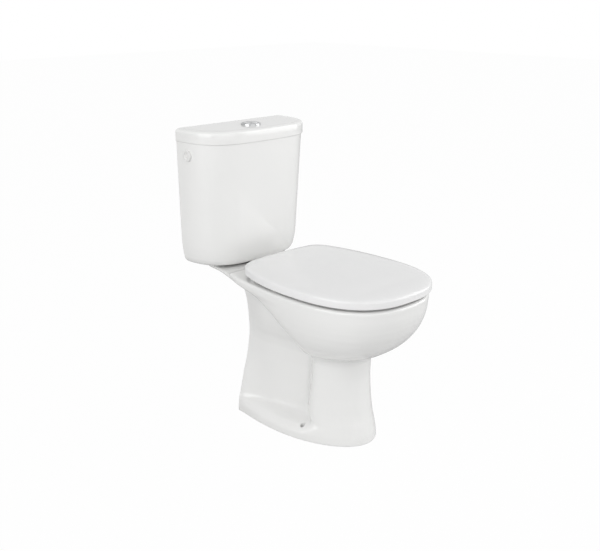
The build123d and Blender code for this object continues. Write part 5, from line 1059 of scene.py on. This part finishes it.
turns = np.linspace(0, math.pi / 2, DOME_ROWS)
dome_top, dome_under = dome(turns[::-1], 0, 0), dome(turns[1:], COVER_THICKNESS, SKIRT_THICKNESS)
top_cap = drawn_to(dome_top[0], (*COVER_MIDDLE, dome_top[0, :, 2].max()), TOP_CAP_SHARES)
under_cap = drawn_to(dome_under[-1], (*COVER_MIDDLE, dome_under[-1, :, 2].max()), UNDER_CAP_SHARES)
skirt = rows_at(seat_outline(0, COVER_REAR, SEAT_CORNER),
                np.linspace(COVER_EDGE, COVER_LOW + EDGE_INSETS[1], SKIRT_ROWS)[1:])
low_edge = rows_at(seat_outline(EDGE_INSETS, COVER_REAR - EDGE_INSETS, SEAT_CORNER), COVER_LOW + EDGE_RISES)
inner_skirt = rows_at(seat_outline(SKIRT_THICKNESS, COVER_REAR - SKIRT_THICKNESS, INNER_CORNER),
                      np.linspace(COVER_LOW + INNER_RISE, COVER_EDGE - COVER_THICKNESS, INNER_ROWS))
cover_grid = notched(np.concatenate([top_cap, dome_top, skirt, low_edge, inner_skirt, dome_under,
                                     under_cap]))

# %% [markdown]
# Seat and cover turn on the same pins. Each has two knuckles: the outline of one is a rubber band
# round two circles, the pin's and one further along, and it is drawn out across the seat. Joined
# cylinders and blocks would do too, but would show seams.

# %% Hinge knuckles
# the pins' axis, back from the bowl and up
HINGE = np.array((8 * MM, 430 * MM))
KNUCKLE_RADIUS, KNUCKLE_EDGE = 7 * MM, 0.8 * MM
KNUCKLE_POINTS, KNUCKLE_EDGE_POINTS = 48, 4
COVER_KNUCKLE, COVER_KNUCKLE_FAR = (83.5 * MM, 97.5 * MM), (8 * MM, NOTCH_TOP + 0.5 * MM)


def knuckles(x0, x1, far, far_radius):
    """A knuckle between two places across, and its mirror. Its rings are a band round the pin's
    circle and the far one, each point on the circle that lies towards it, with the edges rounded."""
    turn = full_turn(KNUCKLE_POINTS)
    outward = np.stack([np.cos(turn), np.sin(turn)], -1)
    ahead = (outward @ (np.array(far) - HINGE) > 0)[:, None]
    inset, x = rounded_side(x0, x1, KNUCKLE_EDGE, KNUCKLE_EDGE, KNUCKLE_EDGE_POINTS, KNUCKLE_EDGE_POINTS)
    radius = np.where(ahead, far_radius, KNUCKLE_RADIUS) - inset[:, None, None]
    y, z = np.moveaxis(np.where(ahead, far, HINGE) + radius * outward, -1, 0)
    rings = closed(points_at(x[:, None], y, z))
    return [(rings[::-1] * MIRROR, True), (rings, True)]


cover_knuckles = knuckles(*COVER_KNUCKLE, COVER_KNUCKLE_FAR, KNUCKLE_RADIUS)
cover = put_mesh("seat_cover_shell", [(cover_grid, True), *cover_knuckles])
dress(cover, "cover", "seat_plastic", "seat_cover")

# %% [markdown]
# The ring is one closed band: round its outer edge, over the top, down through the opening and
# back underneath, with a bigger round above than below. A curve with a bevel could draw a band,
# but its inner edge would run parallel to the outer one, and this opening is an egg.

# %% Seat ring
RING_INSET, RING_REAR, RING_BOTTOM, RING_TOP = 6 * MM, -16 * MM, 417 * MM, 434 * MM
RING_ROUND, RING_LOW_ROUND, RING_CORNER = 6 * MM, 3 * MM, 30 * MM
RING_OPENING = (112 * MM, -368 * MM, -112 * MM, -212 * MM)
RING_SHARES = np.array((0.1, 0.3, 0.5, 0.7, 0.9))[:, None, None]
RING_LOW_POINTS, RING_TOP_POINTS = 5, 7
RING_KNUCKLE, RING_KNUCKLE_FAR = (52.5 * MM, 66.5 * MM), (-22 * MM, 425.5 * MM)
RING_KNUCKLE_RADIUS = 6.5 * MM

inset, height = rounded_side(RING_BOTTOM, RING_TOP, RING_LOW_ROUND, RING_ROUND, RING_LOW_POINTS,
                             RING_TOP_POINTS)
ring_outer = rows_at(seat_outline(RING_INSET + inset, RING_REAR - inset, RING_CORNER), height)
eye_turn = turns_facing(ring_outer[-1], RING_OPENING)
eye = egg_rings(eye_turn, RING_OPENING, inset[::-1], height[::-1])
ring_grid = np.concatenate([ring_outer, mix(ring_outer[-1:], eye[:1], RING_SHARES), eye,
                            mix(eye[-1:], ring_outer[:1], RING_SHARES), ring_outer[:1]])
ring_knuckles = knuckles(*RING_KNUCKLE, RING_KNUCKLE_FAR, RING_KNUCKLE_RADIUS)
ring = put_mesh("seat_ring_shell", [(ring_grid, True), *ring_knuckles])
dress(ring, "seat", "seat_plastic", "seat_ring")

# %% [markdown]
# ## Studio
# A pale floor and a white world. The camera sees both at about full white, and the glaze reflects
# the world a little dimmer. More lamps could whiten the floor too, but would wash out the glaze.
# Only three lamps and a world of half strength light the piece, so its greys come from its shape.
# The floor keeps a trace of the shadow.

# %% Floor, world and lamps
FLOOR_HALF, FLOOR_GREY, FLOOR_SHADOW_SHARE = 12.0, 0.68, 0.02
WORLD_LIGHT, WORLD_MIRROR_SHARE = 0.48, 0.8
WHITE = (1, 1, 1, 1)
LIT_PLACE = (0, -0.1, 0.4)
# place, side length in metres and power in watts
LAMPS = {"key_lamp": ((-0.9, -3.2, 1.9), 4.0, 30), "side_lamp": ((-3.2, -0.3, 1.7), 3.0, 54),
         "fill_lamp": ((2.6, -2.0, 1.6), 3.0, 58)}


def math_node(tree, operation, first, second):
    """A Math node on a socket and either a number or another socket; gives the result's socket."""
    node = tree.nodes.new("ShaderNodeMath")
    node.operation = operation
    tree.links.new(first, node.inputs[0])
    if isinstance(second, float):
        node.inputs[1].default_value = second
    else:
        tree.links.new(second, node.inputs[1])
    return node.outputs["Value"]


floor = bpy.data.objects.new("studio_floor", bpy.data.meshes.new("studio_floor"))
corners = np.array(((-1, -1, 0), (1, -1, 0), (1, 1, 0), (-1, 1, 0))) * FLOOR_HALF
floor.data.from_pydata(corners.tolist(), [], [(0, 1, 2, 3)])
scene.collection.objects.link(floor)
paper = bpy.data.materials.new("studio_paper")
paper.use_nodes = True
tree = paper.node_tree
tree.nodes.remove(tree.nodes["Principled BSDF"])
matt = tree.nodes.new("ShaderNodeBsdfDiffuse")
matt.inputs["Color"].default_value = (FLOOR_GREY, FLOOR_GREY, FLOOR_GREY, 1)
glow = tree.nodes.new("ShaderNodeEmission")
glow.inputs["Color"].default_value = WHITE
ray = tree.nodes.new("ShaderNodeLightPath")
blend = tree.nodes.new("ShaderNodeMixShader")
seen = math_node(tree, "MULTIPLY", ray.outputs["Is Camera Ray"], 1 - FLOOR_SHADOW_SHARE)
tree.links.new(seen, blend.inputs["Fac"])
tree.links.new(matt.outputs["BSDF"], blend.inputs[1])
tree.links.new(glow.outputs["Emission"], blend.inputs[2])
tree.links.new(blend.outputs["Shader"], tree.nodes["Material Output"].inputs["Surface"])
floor.data.materials.append(paper)

world = bpy.data.worlds.new("studio_world")
world.use_nodes = True
scene.world = world
tree = world.node_tree
sky = tree.nodes["Background"]
sky.inputs["Color"].default_value = WHITE
ray = tree.nodes.new("ShaderNodeLightPath")
mirrored = math_node(tree, "MULTIPLY", ray.outputs["Is Glossy Ray"], WORLD_MIRROR_SHARE)
any_seen = math_node(tree, "MAXIMUM", ray.outputs["Is Camera Ray"], mirrored)
any_clear = math_node(tree, "MAXIMUM", any_seen, ray.outputs["Is Transmission Ray"])
strength = tree.nodes.new("ShaderNodeMapRange")
strength.inputs["To Min"].default_value = WORLD_LIGHT
strength.inputs["To Max"].default_value = 1.0
tree.links.new(any_clear, strength.inputs["Value"])
tree.links.new(strength.outputs["Result"], sky.inputs["Strength"])

for name, (place, size, power) in LAMPS.items():
    data = bpy.data.lights.new(name, "AREA")
    data.size, data.energy = size, power
    light = bpy.data.objects.new(name, data)
    light.location = place
    facing = np.array(LIT_PLACE) - np.array(place)
    light.rotation_euler = (math.atan2(math.hypot(facing[0], facing[1]), -facing[2]), 0,
                            math.atan2(facing[1], facing[0]) - math.pi / 2)
    scene.collection.objects.link(light)
print("lamps:", ", ".join(LAMPS))
